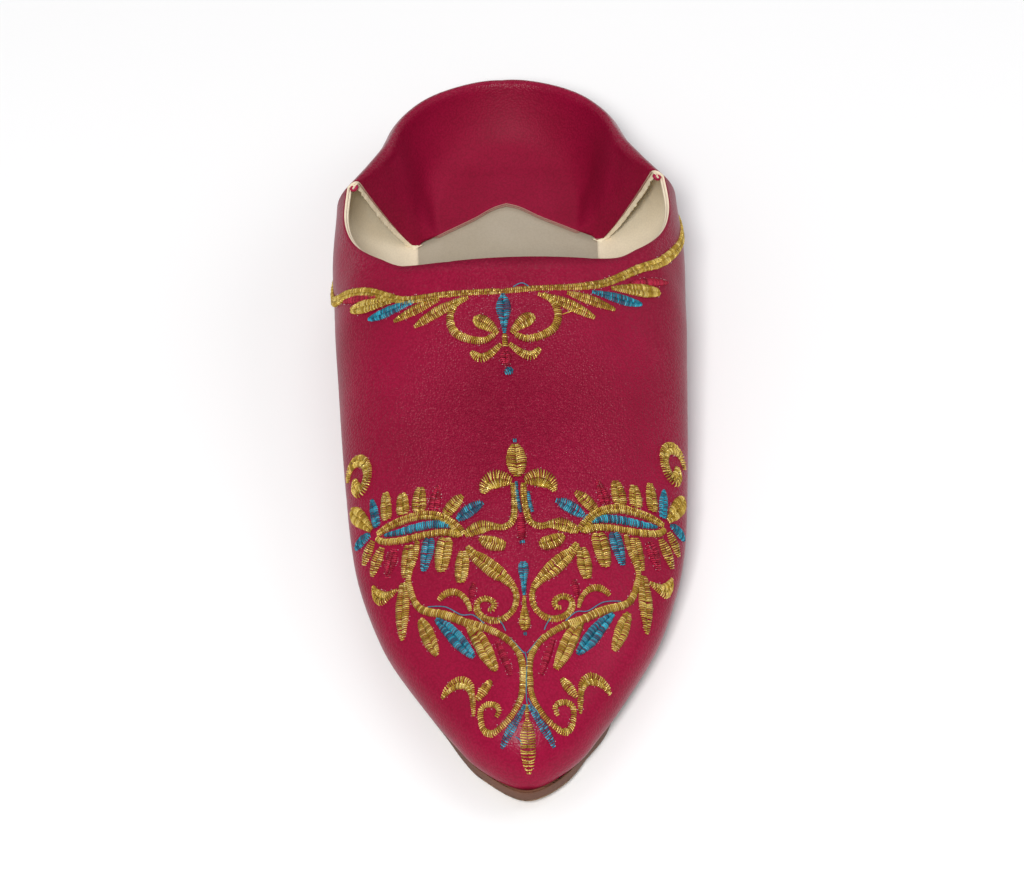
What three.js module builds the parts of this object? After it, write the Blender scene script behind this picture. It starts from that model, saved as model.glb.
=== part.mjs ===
// A babouche: a flat leather slipper with a pointed toe, low side wings and a heel quarter
// that is folded down onto the insole. Millimetres, +Z up, toe towards -Y, heel towards +Y.
//
// Three pieces are lasted and stitched together:
//   outsole  one flat cut of sole leather with a little toe spring
//   insole   a thinner board that lies inside the upper's edge
//   upper    vamp, wings and folded quarter as one hollow wall of leather and lining
//
// Places along the shoe are told as the distance from the heel end of the outsole ("fromHeel").
import * as THREE from "three";
import { mergeVertices } from "three/addons/utils/BufferGeometryUtils.js";

// ---- Driving dimensions ------------------------------------------------------------------
const SOLE_LENGTH = 259;
const OUTSOLE_THICKNESS = 4;
const INSOLE_THICKNESS = 2;
const WALL = 1.6; // outer leather and lining together
const GAP = 0.3; // between pieces that touch
const SOLE_MARGIN = 1; // outsole that shows outside the upper's edge
const INSOLE_CLEARANCE = 1; // between the insole's edge and the lining
const HEEL_RADIUS = 29; // how far the round of the heel reaches along the sole
const TOE_RADIUS = 12; // the same for the blunt point of the toe
const NOSE_LENGTH = 17; // how far back from its tip the top of the toe is still rising
const TOE_SPRING = 4; // lift of the very tip
const SPRING_START = 192; // fromHeel where the sole starts to lift
const FOLD_RADIUS = WALL + 0.6; // outer face of the fold along the top of the quarter

// Half widths and heights of the last, one row for each section.
// sole: edge of the outsole. belly: widest place of the wall, at height bellyHeight.
// ridge: top of the section; behind the throat it only steers how the wings lean in.
const LAST = [
  { fromHeel: 0, sole: 29.5, belly: 50, bellyHeight: 30, ridge: 58 },
  { fromHeel: 30, sole: 30, belly: 50, bellyHeight: 30, ridge: 58 },
  { fromHeel: 62, sole: 29, belly: 51, bellyHeight: 31, ridge: 60 },
  { fromHeel: 85, sole: 30.5, belly: 52.5, bellyHeight: 29, ridge: 61 },
  { fromHeel: 107, sole: 34, belly: 52, bellyHeight: 27, ridge: 59.5 },
  { fromHeel: 130, sole: 39.5, belly: 51, bellyHeight: 24, ridge: 53 },
  { fromHeel: 160, sole: 44, belly: 49.5, bellyHeight: 21, ridge: 45 },
  { fromHeel: 184, sole: 44, belly: 47.5, bellyHeight: 19, ridge: 38.5 },
  { fromHeel: 208, sole: 38, belly: 41, bellyHeight: 15, ridge: 32 },
  { fromHeel: 232, sole: 26, belly: 28, bellyHeight: 12, ridge: 26 },
  { fromHeel: 246, sole: 17.2, belly: 18.5, bellyHeight: 10, ridge: 22.5 },
  { fromHeel: 259, sole: 9, belly: 9.5, bellyHeight: 9, ridge: 20 },
];

// Top edge of the vamp and wings, from the middle of the throat to the peak of a wing.
const THROAT_FROM_HEEL = 107;
const COLLAR = [
  { fromHeel: 105, height: 55 },
  { fromHeel: 98, height: 50.5 },
  { fromHeel: 87, height: 45 },
  { fromHeel: 74, height: 41.5 },
  { fromHeel: 62, height: 42 },
];

// The quarter from a wing's peak (turn 0) round to the middle of the heel (turn 1).
// lean: how far the wall leans out past its foot, at bellyHeight. crest: top of the fold.
// ridge: as in LAST. run: plan length in which the folded leather comes down to the insole,
// by the power in "fall". The first row's wall is the wing's own.
const QUARTER = [
  { turn: 0, lean: 23, bellyHeight: 31, ridge: 60, crest: 44, run: 15, fall: 1.15 },
  { turn: 0.15, lean: 17, bellyHeight: 27, ridge: 56, crest: 40, run: 15, fall: 1.2 },
  { turn: 0.35, lean: 10, bellyHeight: 21, ridge: 48, crest: 34, run: 15, fall: 1.4 },
  { turn: 0.6, lean: 5.5, bellyHeight: 15, ridge: 38, crest: 27, run: 15, fall: 1.9 },
  { turn: 0.85, lean: 3.8, bellyHeight: 11.5, ridge: 33, crest: 23.5, run: 16, fall: 2 },
  { turn: 1, lean: 3.5, bellyHeight: 11, ridge: 32, crest: 23, run: 16, fall: 2 },
];

// Cut edge of the folded quarter where it lies on the insole: a corner, then the chevron.
// Its side edges run straight from the corners up to the wings' peaks.
const CHEVRON = [
  { turn: 0, x: 27, fromHeel: 56 },
  { turn: 0.3, x: 19.5, fromHeel: 51.5 },
  { turn: 0.65, x: 10, fromHeel: 46 },
  { turn: 0.9, x: 3, fromHeel: 41.5 },
  { turn: 1, x: 0, fromHeel: 40.5 },
];

// Mesh density
const VAMP_RIBS = 26; // from the toe to a wing's peak, on each side
const TOE_CROWDING = 1.45; // above 1, the ribs stand closer round the toe
const QUARTER_RIBS = 16; // from the peak to the middle of the heel, on each side
const WALL_ROWS = 14;
const FOLD_ROWS = 5;
const FLAP_ROWS = 6;
const SECTION_STEPS = 24; // straight pieces in each arc of a section
const SOLE_STATIONS = 36;
const SOLE_COLUMNS = 8;

// ---- Small helpers -----------------------------------------------------------------------
const lerp = THREE.MathUtils.lerp;

// Value of one column at a place along a table, on a smooth curve that never overshoots a row.
function column(table, key, at, name) {
  const last = table.length - 2;
  let i = table.findIndex((row, k) => k <= last && at <= table[k + 1][key]);
  if (i < 0) i = last;
  const rise = (k) => (table[k + 1][name] - table[k][name]) / (table[k + 1][key] - table[k][key]);
  const slope = (k) => {
    if (k === 0) return rise(0);
    if (k > last) return rise(last);
    const product = rise(k - 1) * rise(k);
    return product > 0 ? (2 * product) / (rise(k - 1) + rise(k)) : 0;
  };
  const a = table[i];
  const b = table[i + 1];
  const span = b[key] - a[key];
  const u = THREE.MathUtils.clamp((at - a[key]) / span, 0, 1);
  const u2 = u * u;
  const u3 = u2 * u;
  return (
    (2 * u3 - 3 * u2 + 1) * a[name] +
    (u3 - 2 * u2 + u) * span * slope(i) +
    (3 * u2 - 2 * u3) * b[name] +
    (u3 - u2) * span * slope(i + 1)
  );
}

// 0 at a blunt end, 1 once the round is over: a quarter circle.
const roundEnd = (distance, radius) =>
  Math.sqrt(1 - (1 - THREE.MathUtils.clamp(distance / radius, 0, 1)) ** 2);

// Half width of the sole's outline, or of the outline that lies "inset" inside it.
function outline(fromHeel, inset = 0) {
  const heel = roundEnd(fromHeel - inset, HEEL_RADIUS - inset);
  const toe = roundEnd(SOLE_LENGTH - inset - fromHeel, TOE_RADIUS - inset);
  return (column(LAST, "fromHeel", fromHeel, "sole") - inset) * heel * toe;
}

// Upward bend of everything towards the toe.
function lift(fromHeel) {
  const u = Math.max(0, fromHeel - SPRING_START) / (SOLE_LENGTH - SPRING_START);
  return TOE_SPRING * u * u;
}

// A point told by side, distance from the heel and height above the flat floor.
const place = (x, fromHeel, height) =>
  new THREE.Vector3(x, SOLE_LENGTH / 2 - fromHeel, height + lift(fromHeel));

// A line of points that can be asked for the point at a length along it.
function measured(points) {
  const lengths = [0];
  for (let i = 1; i < points.length; i++)
    lengths.push(lengths[i - 1] + points[i].distanceTo(points[i - 1]));
  const total = lengths[lengths.length - 1];
  const at = (length) => {
    let i = lengths.findIndex((l, k) => k > 0 && length <= l);
    if (i < 0) i = lengths.length - 1;
    const span = lengths[i] - lengths[i - 1];
    const u = span > 0 ? (length - lengths[i - 1]) / span : 0;
    return points[i - 1].clone().lerp(points[i], THREE.MathUtils.clamp(u, 0, 1));
  };
  return { points, total, at };
}

// ---- The last: one half section -----------------------------------------------------------
const FOOT_HEIGHT = OUTSOLE_THICKNESS + GAP; // where the upper's lower edge stands

// From the ridge over the belly down to the foot of the wall: x outwards, y up.
function halfSection({ foot, belly, bellyHeight, ridge }) {
  const over = new THREE.CubicBezierCurve(
    new THREE.Vector2(0, ridge),
    new THREE.Vector2(0.56 * belly, ridge),
    new THREE.Vector2(belly, lerp(bellyHeight, ridge, 0.56)),
    new THREE.Vector2(belly, bellyHeight),
  );
  const under = new THREE.QuadraticBezierCurve(
    new THREE.Vector2(belly, bellyHeight),
    new THREE.Vector2(belly, lerp(FOOT_HEIGHT, bellyHeight, 0.4)),
    new THREE.Vector2(foot, FOOT_HEIGHT),
  );
  return measured([
    ...over.getPoints(SECTION_STEPS),
    ...under.getPoints(SECTION_STEPS).slice(1),
  ]);
}

// The section of the vamp or wing at a place along the shoe, closing to a nose at the toe.
function lastSection(fromHeel) {
  const value = (name) => column(LAST, "fromHeel", fromHeel, name);
  const toToe = SOLE_LENGTH - SOLE_MARGIN - fromHeel;
  const across = roundEnd(toToe, TOE_RADIUS);
  const up = roundEnd(toToe, NOSE_LENGTH);
  const rise = (height) => FOOT_HEIGHT + (height - FOOT_HEIGHT) * up;
  const foot = outline(fromHeel, SOLE_MARGIN);
  return halfSection({
    foot,
    belly: Math.max(foot, value("belly") * across),
    bellyHeight: rise(value("bellyHeight")),
    ridge: rise(value("ridge")),
  });
}

// Length along a section, from its ridge, where it passes a height on the way to the belly.
function girthAtHeight(section, height) {
  let length = 0;
  for (let i = 1; i < section.points.length; i++) {
    const a = section.points[i - 1];
    const b = section.points[i];
    if (b.y <= height) return length + a.distanceTo(b) * ((a.y - height) / (a.y - b.y || 1));
    length += a.distanceTo(b);
  }
  return length;
}

// ---- The upper's ribs ----------------------------------------------------------------------
// Foot of the wall, from the tip of the toe round one side to the middle of the heel.
const footLine = measured(
  Array.from({ length: 401 }, (_, i) => {
    const u = (1 - Math.cos((Math.PI * i) / 400)) / 2;
    const fromHeel = lerp(SOLE_LENGTH - SOLE_MARGIN, SOLE_MARGIN, u);
    return new THREE.Vector2(outline(fromHeel, SOLE_MARGIN), fromHeel);
  }),
);

const peakRow = COLLAR[COLLAR.length - 1];
const footToPeak = (() => {
  let low = 0;
  let high = footLine.total;
  for (let i = 0; i < 40; i++) {
    const middle = (low + high) / 2;
    if (footLine.at(middle).y > peakRow.fromHeel) low = middle;
    else high = middle;
  }
  return low;
})();

// The collar in the flat pattern: x is the girth from the ridge, y the distance from the heel.
const collarLine = (() => {
  const half = COLLAR.map(
    (row) =>
      new THREE.Vector2(girthAtHeight(lastSection(row.fromHeel), row.height), row.fromHeel),
  );
  const mirrored = half.map((p) => new THREE.Vector2(-p.x, p.y)).reverse();
  const curve = new THREE.SplineCurve([
    ...mirrored,
    new THREE.Vector2(0, THROAT_FROM_HEEL),
    ...half,
  ]);
  const points = curve.getPoints(400).slice(200);
  points[0].x = 0;
  return measured(points);
})();

// A rib of the vamp or a wing: straight in the flat pattern, from the foot to the collar.
function vampRib(share) {
  const foot = footLine.at(share * footToPeak);
  const collar = collarLine.at(share * collarLine.total);
  const girth = lastSection(foot.y).total;
  const rows = [];
  for (let i = 0; i <= WALL_ROWS; i++) {
    const t = (i / WALL_ROWS) ** lerp(1.7, 1, share);
    const fromHeel = lerp(foot.y, collar.y, t);
    const p = lastSection(fromHeel).at(lerp(girth, collar.x, t));
    rows.push(place(p.x, fromHeel, p.y));
  }
  return rows;
}

const FLAP_FLOOR = FOOT_HEIGHT + INSOLE_THICKNESS + GAP + WALL; // top face of the folded leather

// The quarter's wall from its foot to the start of the fold.
function quarterWall(turn) {
  const value = (name) => column(QUARTER, "turn", turn, name);
  const length = lerp(footToPeak, footLine.total, turn);
  const foot = footLine.at(length);
  const before = footLine.at(length - 0.5);
  const after = footLine.at(Math.min(length + 0.5, footLine.total));
  const along = after.sub(before).normalize();
  const outwards = new THREE.Vector2(-along.y, along.x);
  if (turn === 1) outwards.set(0, -1);
  outwards.lerp(new THREE.Vector2(1, 0), Math.max(0, 1 - turn / 0.15)).normalize();
  const reach = outline(peakRow.fromHeel, SOLE_MARGIN);
  const section = halfSection({
    foot: reach,
    belly: reach + value("lean"),
    bellyHeight: value("bellyHeight"),
    ridge: value("ridge"),
  });
  const topGirth = girthAtHeight(section, value("crest") - FOLD_RADIUS);
  const total = section.total - topGirth;
  const at = (length) => {
    const p = section.at(section.total - length);
    const plan = foot.clone().addScaledVector(outwards, p.x - reach);
    return place(plan.x, plan.y, p.y);
  };
  return { at, total };
}

// A rib of the quarter: up the wall, over the fold, and down along the folded leather.
function quarterRib(turn) {
  const value = (name) => column(QUARTER, "turn", turn, name);
  const wall = quarterWall(turn);
  const wallTop = wall.at(wall.total);
  const wallUp = wallTop.clone().sub(wall.at(wall.total - 0.5)).normalize();
  const edge = place(
    column(CHEVRON, "turn", turn, "x"),
    column(CHEVRON, "turn", turn, "fromHeel"),
    FLAP_FLOOR,
  );

  // The folded leather starts level with the wall's top, two fold radii further in.
  const inwards = new THREE.Vector3(edge.x - wallTop.x, edge.y - wallTop.y, 0).normalize();
  const start = wallTop.clone().addScaledVector(inwards, 2 * FOLD_RADIUS);
  const reach = Math.hypot(edge.x - start.x, edge.y - start.y);
  const run = Math.min(value("run"), reach);
  const onFlap = (distance) => {
    const p = start.clone().lerp(edge, distance / reach);
    const left = Math.max(0, 1 - distance / run);
    p.z = edge.z + (start.z - edge.z) * left ** value("fall");
    return p;
  };
  const flap = measured(Array.from({ length: 61 }, (_, i) => onFlap((reach * i) / 60)));
  const flapDown = flap.at(0.5).sub(start).normalize();
  const handle = (4 / 3) * FOLD_RADIUS;
  const fold = new THREE.CubicBezierCurve3(
    wallTop,
    wallTop.clone().addScaledVector(wallUp, handle),
    start.clone().addScaledVector(flapDown, -handle),
    start,
  );
  const rows = [];
  for (let i = 0; i < WALL_ROWS; i++) rows.push(wall.at((wall.total * i) / WALL_ROWS));
  for (let i = 0; i < FOLD_ROWS; i++) rows.push(fold.getPoint(i / FOLD_ROWS));
  for (let i = 0; i <= FLAP_ROWS; i++)
    rows.push(flap.at((flap.total * i) / FLAP_ROWS));
  return rows;
}

// ---- Closed solids ---------------------------------------------------------------------------
// Closes an open sheet into a solid. Each grid is a list of lines of points; where grids share
// points they are joined. "behind" gives a point's partner on the other face from the point
// and the sheet's outward direction there.
function solidFromSheet(grids, behind) {
  const corners = [];
  for (const grid of grids)
    for (let i = 0; i + 1 < grid.length; i++)
      for (let k = 0; k + 1 < grid[i].length; k++) {
        const [a, b] = [grid[i][k], grid[i + 1][k]];
        const [c, d] = [grid[i + 1][k + 1], grid[i][k + 1]];
        corners.push(a, b, c, a, c, d);
      }
  const loose = new THREE.BufferGeometry().setFromPoints(corners);
  const front = mergeVertices(loose, 1e-3);
  const faces = [];
  const all = front.index.array;
  for (let i = 0; i < all.length; i += 3) {
    const [a, b, c] = [all[i], all[i + 1], all[i + 2]];
    if (a !== b && b !== c && a !== c) faces.push([a, b, c]);
  }
  front.setIndex(faces.flat());
  front.computeVertexNormals();

  const count = front.attributes.position.count;
  const points = Array.from({ length: count }, (_, i) =>
    new THREE.Vector3().fromBufferAttribute(front.attributes.position, i),
  );
  const backs = points.map((point, i) =>
    behind(point, new THREE.Vector3().fromBufferAttribute(front.attributes.normal, i)),
  );
  const used = new Set(faces.flatMap(([a, b, c]) => [`${a},${b}`, `${b},${c}`, `${c},${a}`]));
  const index = [];
  for (const [a, b, c] of faces) index.push(a, b, c, count + a, count + c, count + b);
  for (const side of used) {
    const [a, b] = side.split(",").map(Number);
    if (used.has(`${b},${a}`)) continue;
    index.push(b, a, count + a, b, count + a, count + b); // the cut edge between the faces
  }
  const solid = new THREE.BufferGeometry().setFromPoints([...points, ...backs]);
  solid.setIndex(index);
  solid.computeVertexNormals();
  return solid;
}

// ---- Pieces ----------------------------------------------------------------------------------
const mirror = (grid) =>
  grid.map((line) => line.map((p) => new THREE.Vector3(-p.x, p.y, p.z))).reverse();

function makeUpper() {
  const vamp = [];
  for (let i = 0; i <= VAMP_RIBS; i++) vamp.push(vampRib((i / VAMP_RIBS) ** TOE_CROWDING));
  const quarter = [];
  for (let i = 0; i <= QUARTER_RIBS; i++) quarter.push(quarterRib(i / QUARTER_RIBS));
  quarter[0].splice(0, WALL_ROWS + 1, ...vamp[VAMP_RIBS]);
  return solidFromSheet([vamp, quarter, mirror(quarter), mirror(vamp)], (point, outwards) => {
    const fromHeel = SOLE_LENGTH / 2 - point.y;
    if (point.z - lift(fromHeel) < FOOT_HEIGHT + 0.01) outwards.setZ(0).normalize();
    return point.clone().addScaledVector(outwards, -WALL);
  });
}

// A flat board that follows the sole's outline, "inset" inside it.
function makeBoard(inset, low, high) {
  const grid = Array.from({ length: SOLE_STATIONS + 1 }, (_, i) => {
    const u = (1 - Math.cos((Math.PI * i) / SOLE_STATIONS)) / 2;
    const fromHeel = lerp(inset, SOLE_LENGTH - inset, u);
    const half = i % SOLE_STATIONS === 0 ? 0 : outline(fromHeel, inset);
    return Array.from({ length: SOLE_COLUMNS + 1 }, (_, k) =>
      place(lerp(-half, half, k / SOLE_COLUMNS), fromHeel, high),
    );
  });
  return solidFromSheet([grid], (point) => point.clone().setZ(point.z - high + low));
}

const slipper = new THREE.Group();
function add(name, geometry, color, roughness) {
  const material = new THREE.MeshStandardMaterial({ color, roughness, metalness: 0 });
  const mesh = new THREE.Mesh(geometry, material);
  mesh.name = name;
  slipper.add(mesh);
}

const insoleInset = SOLE_MARGIN + WALL + INSOLE_CLEARANCE;
const insoleTop = FOOT_HEIGHT + INSOLE_THICKNESS;
add("outsole", makeBoard(0, 0, OUTSOLE_THICKNESS), 0x6b4230, 0.75);
add("insole", makeBoard(insoleInset, FOOT_HEIGHT, insoleTop), 0xd9cdb4, 0.8);
add("upper", makeUpper(), 0x9c1a44, 0.45);

// The origin is under the middle of the whole shoe.
const box = new THREE.Box3().setFromObject(slipper);
slipper.position.y = -(box.min.y + box.max.y) / 2;

export default slipper;
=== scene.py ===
"""A leather babouche slipper: board sole, folded-down quarter and a vamp worked in gold thread."""

import logging
import math
from collections.abc import Sequence
from dataclasses import dataclass, field
from enum import Enum
from typing import Any, NamedTuple

import bmesh
import bpy
import numpy as np
from mathutils import Matrix, Vector, noise


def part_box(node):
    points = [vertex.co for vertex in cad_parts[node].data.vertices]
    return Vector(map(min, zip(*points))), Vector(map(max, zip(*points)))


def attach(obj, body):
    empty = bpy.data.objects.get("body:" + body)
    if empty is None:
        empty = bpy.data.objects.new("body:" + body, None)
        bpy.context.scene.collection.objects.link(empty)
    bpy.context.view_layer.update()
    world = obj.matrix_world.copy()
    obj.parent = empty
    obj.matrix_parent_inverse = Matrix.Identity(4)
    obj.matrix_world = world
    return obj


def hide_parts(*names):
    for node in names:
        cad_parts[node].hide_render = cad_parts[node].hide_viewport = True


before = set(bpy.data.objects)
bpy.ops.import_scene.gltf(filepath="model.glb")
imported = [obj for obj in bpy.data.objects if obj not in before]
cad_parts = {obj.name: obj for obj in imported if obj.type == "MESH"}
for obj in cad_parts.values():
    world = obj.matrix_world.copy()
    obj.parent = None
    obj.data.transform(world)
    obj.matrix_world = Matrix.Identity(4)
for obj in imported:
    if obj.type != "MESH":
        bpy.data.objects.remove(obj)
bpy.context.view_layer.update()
LOG = logging.getLogger("babouche")
Array = np.ndarray
Color = tuple[float, float, float]


# ---- The form ---------------------------------------------------------------------------------

MM = 0.001  # the shapes are worked out in millimetres, Blender's objects are in metres
WELD = 2e-5  # points nearer than this, in metres, become one


class SmoothCurve:
    """Values along one direction, on a smooth curve that never overshoots its rows."""

    def __init__(self, at: Sequence[float], values: Sequence[float]) -> None:
        """Keeps the rows and works out a slope for each.

        Args:
            at: where each row stands, rising.
            values: the value at each row.
        """
        self.at = np.array(at, float)
        self.values = np.array(values, float)
        rise = np.diff(self.values) / np.diff(self.at)
        product = rise[:-1] * rise[1:]
        total = np.where(product > 0, rise[:-1] + rise[1:], 1.0)
        inner = np.where(product > 0, 2 * product / total, 0.0)
        self.slopes = np.concatenate([rise[:1], inner, rise[-1:]])

    def __call__(self, at: Array | float) -> Array:
        """Reads the curve.

        Args:
            at: one place or many.

        Returns:
            The value at each place, held at the end rows outside them.
        """
        at = np.clip(np.asarray(at, float), self.at[0], self.at[-1])
        i = np.clip(np.searchsorted(self.at, at, side="right") - 1, 0, len(self.at) - 2)
        span = self.at[i + 1] - self.at[i]
        u = (at - self.at[i]) / span
        return (
            (2 * u**3 - 3 * u**2 + 1) * self.values[i]
            + (u**3 - 2 * u**2 + u) * span * self.slopes[i]
            + (3 * u**2 - 2 * u**3) * self.values[i + 1]
            + (u**3 - u**2) * span * self.slopes[i + 1]
        )


class Table:
    """A short table with named columns, read smoothly along its first column."""

    def __init__(self, columns: str, rows: Sequence[Sequence[float]]) -> None:
        """Makes one smooth curve for each column.

        Args:
            columns: the column names, the first being the one read along.
            rows: one tuple for each row.
        """
        names = columns.split()
        data = list(zip(*rows))
        self.curves = {n: SmoothCurve(data[0], values) for n, values in zip(names, data)}

    def read(self, name: str, at: Array | float) -> Array:
        """Returns a column's value at one place or many."""
        return self.curves[name](at)


@dataclass
class Line:
    """A line of points that can be asked for the point at a length along it."""

    points: Array

    def __post_init__(self) -> None:
        """Measures the line."""
        steps = np.linalg.norm(np.diff(self.points, axis=0), axis=1)
        self.lengths = np.concatenate([[0.0], np.cumsum(steps)])
        self.total = float(self.lengths[-1])

    def at(self, length: Array | float) -> Array:
        """Returns the points at one length or many."""
        columns = [np.interp(length, self.lengths, c) for c in self.points.T]
        return np.stack(columns, axis=-1)


def round_end(distance: Array | float, radius: float) -> Array:
    """Returns 0 at a blunt end and 1 once its quarter-circle round is over."""
    return np.sqrt(1 - (1 - np.clip(np.asarray(distance, float) / radius, 0, 1)) ** 2)


def spline(points: Array, steps: int) -> Array:
    """Draws a smooth line through points.

    Args:
        points: the points to pass through.
        steps: how many straight pieces to draw between two of them.

    Returns:
        The points of the line.
    """
    padded = np.concatenate([points[:1], points, points[-1:]])
    t = (np.arange(steps) / steps)[:, None]
    drawn = []
    for p0, p1, p2, p3 in zip(padded, padded[1:], padded[2:], padded[3:]):
        v0, v1 = (p2 - p0) / 2, (p3 - p1) / 2
        a, b = 2 * (p1 - p2) + v0 + v1, -3 * (p1 - p2) - 2 * v0 - v1
        drawn.append(((a * t + b) * t + v0) * t + p1)
    return np.concatenate([*drawn, points[-1:]])


@dataclass
class Last:
    """The form the slipper is made on, in millimetres.

    Places along it are told as the distance from the heel end of the sole.
    """

    sole_length: float = 259.0
    outsole: float = 4.0
    insole: float = 2.0
    wall: float = 1.6
    gap: float = 0.3
    margin: float = 1.0
    heel_radius: float = 29.0
    toe_radius: float = 12.0
    nose_length: float = 17.0
    toe_spring: float = 4.0
    spring_start: float = 192.0
    fold_radius: float = 2.2
    throat: float = 107.0
    shoulder: float = 0.56
    under: float = 0.4
    steps: int = 40
    body: Table = field(
        default_factory=lambda: Table(
            "heel sole belly belly_height ridge",
            [
                (0, 29.5, 50, 30, 58),
                (30, 30, 50, 30, 58),
                (62, 29, 51, 31, 60),
                (85, 30.5, 52.5, 29, 61),
                (107, 34, 52, 27, 59.5),
                (130, 39.5, 51, 24, 53),
                (160, 44, 49.5, 21, 45),
                (184, 44, 47.5, 19, 38.5),
                (208, 38, 41, 15, 32),
                (232, 26, 28, 12, 26),
                (246, 17.2, 18.5, 10, 22.5),
                (259, 9, 9.5, 9, 20),
            ],
        )
    )
    collar: tuple[tuple[float, float], ...] = (
        (105, 55),
        (98, 50.5),
        (87, 45),
        (74, 41.5),
        (62, 42),
    )
    quarter: Table = field(
        default_factory=lambda: Table(
            "turn lean belly_height ridge crest run fall",
            [
                (0, 23, 31, 60, 44, 15, 1.15),
                (0.15, 17, 27, 56, 40, 15, 1.2),
                (0.35, 10, 21, 48, 34, 15, 1.4),
                (0.6, 5.5, 15, 38, 27, 15, 1.9),
                (0.85, 3.8, 11.5, 33, 23.5, 16, 2),
                (1, 3.5, 11, 32, 23, 16, 2),
            ],
        )
    )
    chevron: Table = field(
        default_factory=lambda: Table(
            "turn x heel",
            [(0, 27, 56), (0.3, 19.5, 51.5), (0.65, 10, 46), (0.9, 3, 41.5), (1, 0, 40.5)],
        )
    )

    def __post_init__(self) -> None:
        """Works out the foot line, the peaks and the collar."""
        self.foot_height = self.outsole + self.gap
        self.flap_floor = self.foot_height + self.insole + self.gap + self.wall
        u = (1 - np.cos(np.pi * np.linspace(0, 1, 401))) / 2
        heel = self.sole_length - self.margin + (2 * self.margin - self.sole_length) * u
        self.foot_line = Line(np.stack([self.outline(heel, self.margin), heel], -1))
        self.peak_heel = self.collar[-1][0]
        falling = self.foot_line.points[::-1, 1]
        self.foot_to_peak = float(
            np.interp(self.peak_heel, falling, self.foot_line.lengths[::-1])
        )
        half = np.array([(self.girth_at_height(h, z), h) for h, z in self.collar])
        mirrored = half[::-1] * (-1, 1)
        through = np.concatenate([mirrored, [(0, self.throat)], half])
        drawn = spline(through, self.steps)[self.steps * len(self.collar) :]
        self.collar_line = Line(drawn)

    def outline(self, heel: Array | float, inset: float = 0.0) -> Array:
        """Finds the half width of the sole, or of the outline that lies inside it.

        Args:
            heel: distances from the heel.
            inset: how far inside the sole's edge the outline lies.

        Returns:
            The half widths.
        """
        heel_round = round_end(heel - inset, self.heel_radius - inset)
        toe_round = round_end(self.sole_length - inset - heel, self.toe_radius - inset)
        return (self.body.read("sole", heel) - inset) * heel_round * toe_round

    def lift(self, heel: Array | float) -> Array:
        """Returns how far everything is bent up towards the toe."""
        past = np.maximum(0, np.asarray(heel, float) - self.spring_start)
        return self.toe_spring * (past / (self.sole_length - self.spring_start)) ** 2

    def place(self, x: Array, heel: Array, height: Array) -> Array:
        """Returns points told by side, distance from the heel and height over a flat floor."""
        x, heel, height = np.broadcast_arrays(x, heel, height)
        return np.stack([x, -heel, height + self.lift(heel)], -1).astype(float)

    def half_sections(
        self, foot: Array, belly: Array, belly_height: Array, ridge: Array
    ) -> tuple[Array, Array]:
        """Draws sections from the ridge over the belly down to the foot.

        Args:
            foot: half widths at the foot.
            belly: half widths at the widest place.
            belly_height: its heights.
            ridge: heights of the top.

        Returns:
            The points as (section, point, x and height), and the lengths along each.
        """
        low = self.foot_height
        u = np.linspace(0, 1, self.steps + 1)
        a, b, c, d = (1 - u) ** 3, 3 * u * (1 - u) ** 2, 3 * u**2 * (1 - u), u**3
        e, f, g = (1 - u[1:]) ** 2, 2 * u[1:] * (1 - u[1:]), u[1:] ** 2
        foot, belly, mid, top = (
            np.atleast_1d(v)[:, None] for v in (foot, belly, belly_height, ridge)
        )
        shoulder = mid + (top - mid) * self.shoulder
        tuck = low + (mid - low) * self.under
        x_top, x_low = b * self.shoulder * belly + (c + d) * belly, (e + f) * belly + g * foot
        z_top, z_low = (a + b) * top + c * shoulder + d * mid, e * mid + f * tuck + g * low
        x, z = np.concatenate([x_top, x_low], 1), np.concatenate([z_top, z_low], 1)
        points = np.stack([x, z], -1)
        steps = np.linalg.norm(np.diff(points, axis=1), axis=2)
        lengths = np.concatenate([np.zeros((len(points), 1)), np.cumsum(steps, 1)], 1)
        return points, lengths

    def sections(self, heel: Array) -> tuple[Array, Array]:
        """Draws the sections of the vamp and wings.

        Args:
            heel: the sections' distances from the heel.

        Returns:
            The points and the lengths along each, as half_sections tells them.
        """
        heel = np.atleast_1d(np.asarray(heel, float))
        to_toe = self.sole_length - self.margin - heel
        up = round_end(to_toe, self.nose_length)
        foot = self.outline(heel, self.margin)
        belly = self.body.read("belly", heel) * round_end(to_toe, self.toe_radius)
        low = self.foot_height
        mid = low + (self.body.read("belly_height", heel) - low) * up
        top = low + (self.body.read("ridge", heel) - low) * up
        return self.half_sections(foot, np.maximum(foot, belly), mid, top)

    def girth_at_height(self, heel: float, height: float) -> float:
        """Returns the length along a section, from its ridge, down to a height."""
        points, lengths = self.sections(heel)
        return self.down_to(points[0], lengths[0], height)

    @staticmethod
    def down_to(points: Array, lengths: Array, height: float) -> float:
        """Returns the length from the ridge of one section down to a height."""
        return float(np.interp(-height, -points[:, 1], lengths))

    def on_sections(self, heel: Array, girth: Array) -> Array:
        """Lays flat-pattern places onto the form.

        Args:
            heel: distances from the heel.
            girth: lengths from the ridge line, negative on the other side.

        Returns:
            The points in space.
        """
        points, lengths = self.sections(heel)
        away = np.minimum(np.abs(girth), lengths[:, -1])
        i = np.clip((lengths <= away[:, None]).sum(1) - 1, 0, lengths.shape[1] - 2)
        n = np.arange(len(i))
        u = (away - lengths[n, i]) / np.maximum(lengths[n, i + 1] - lengths[n, i], 1e-9)
        p = points[n, i] + (points[n, i + 1] - points[n, i]) * u[:, None]
        return self.place(p[:, 0] * np.sign(girth), heel, p[:, 1])

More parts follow.
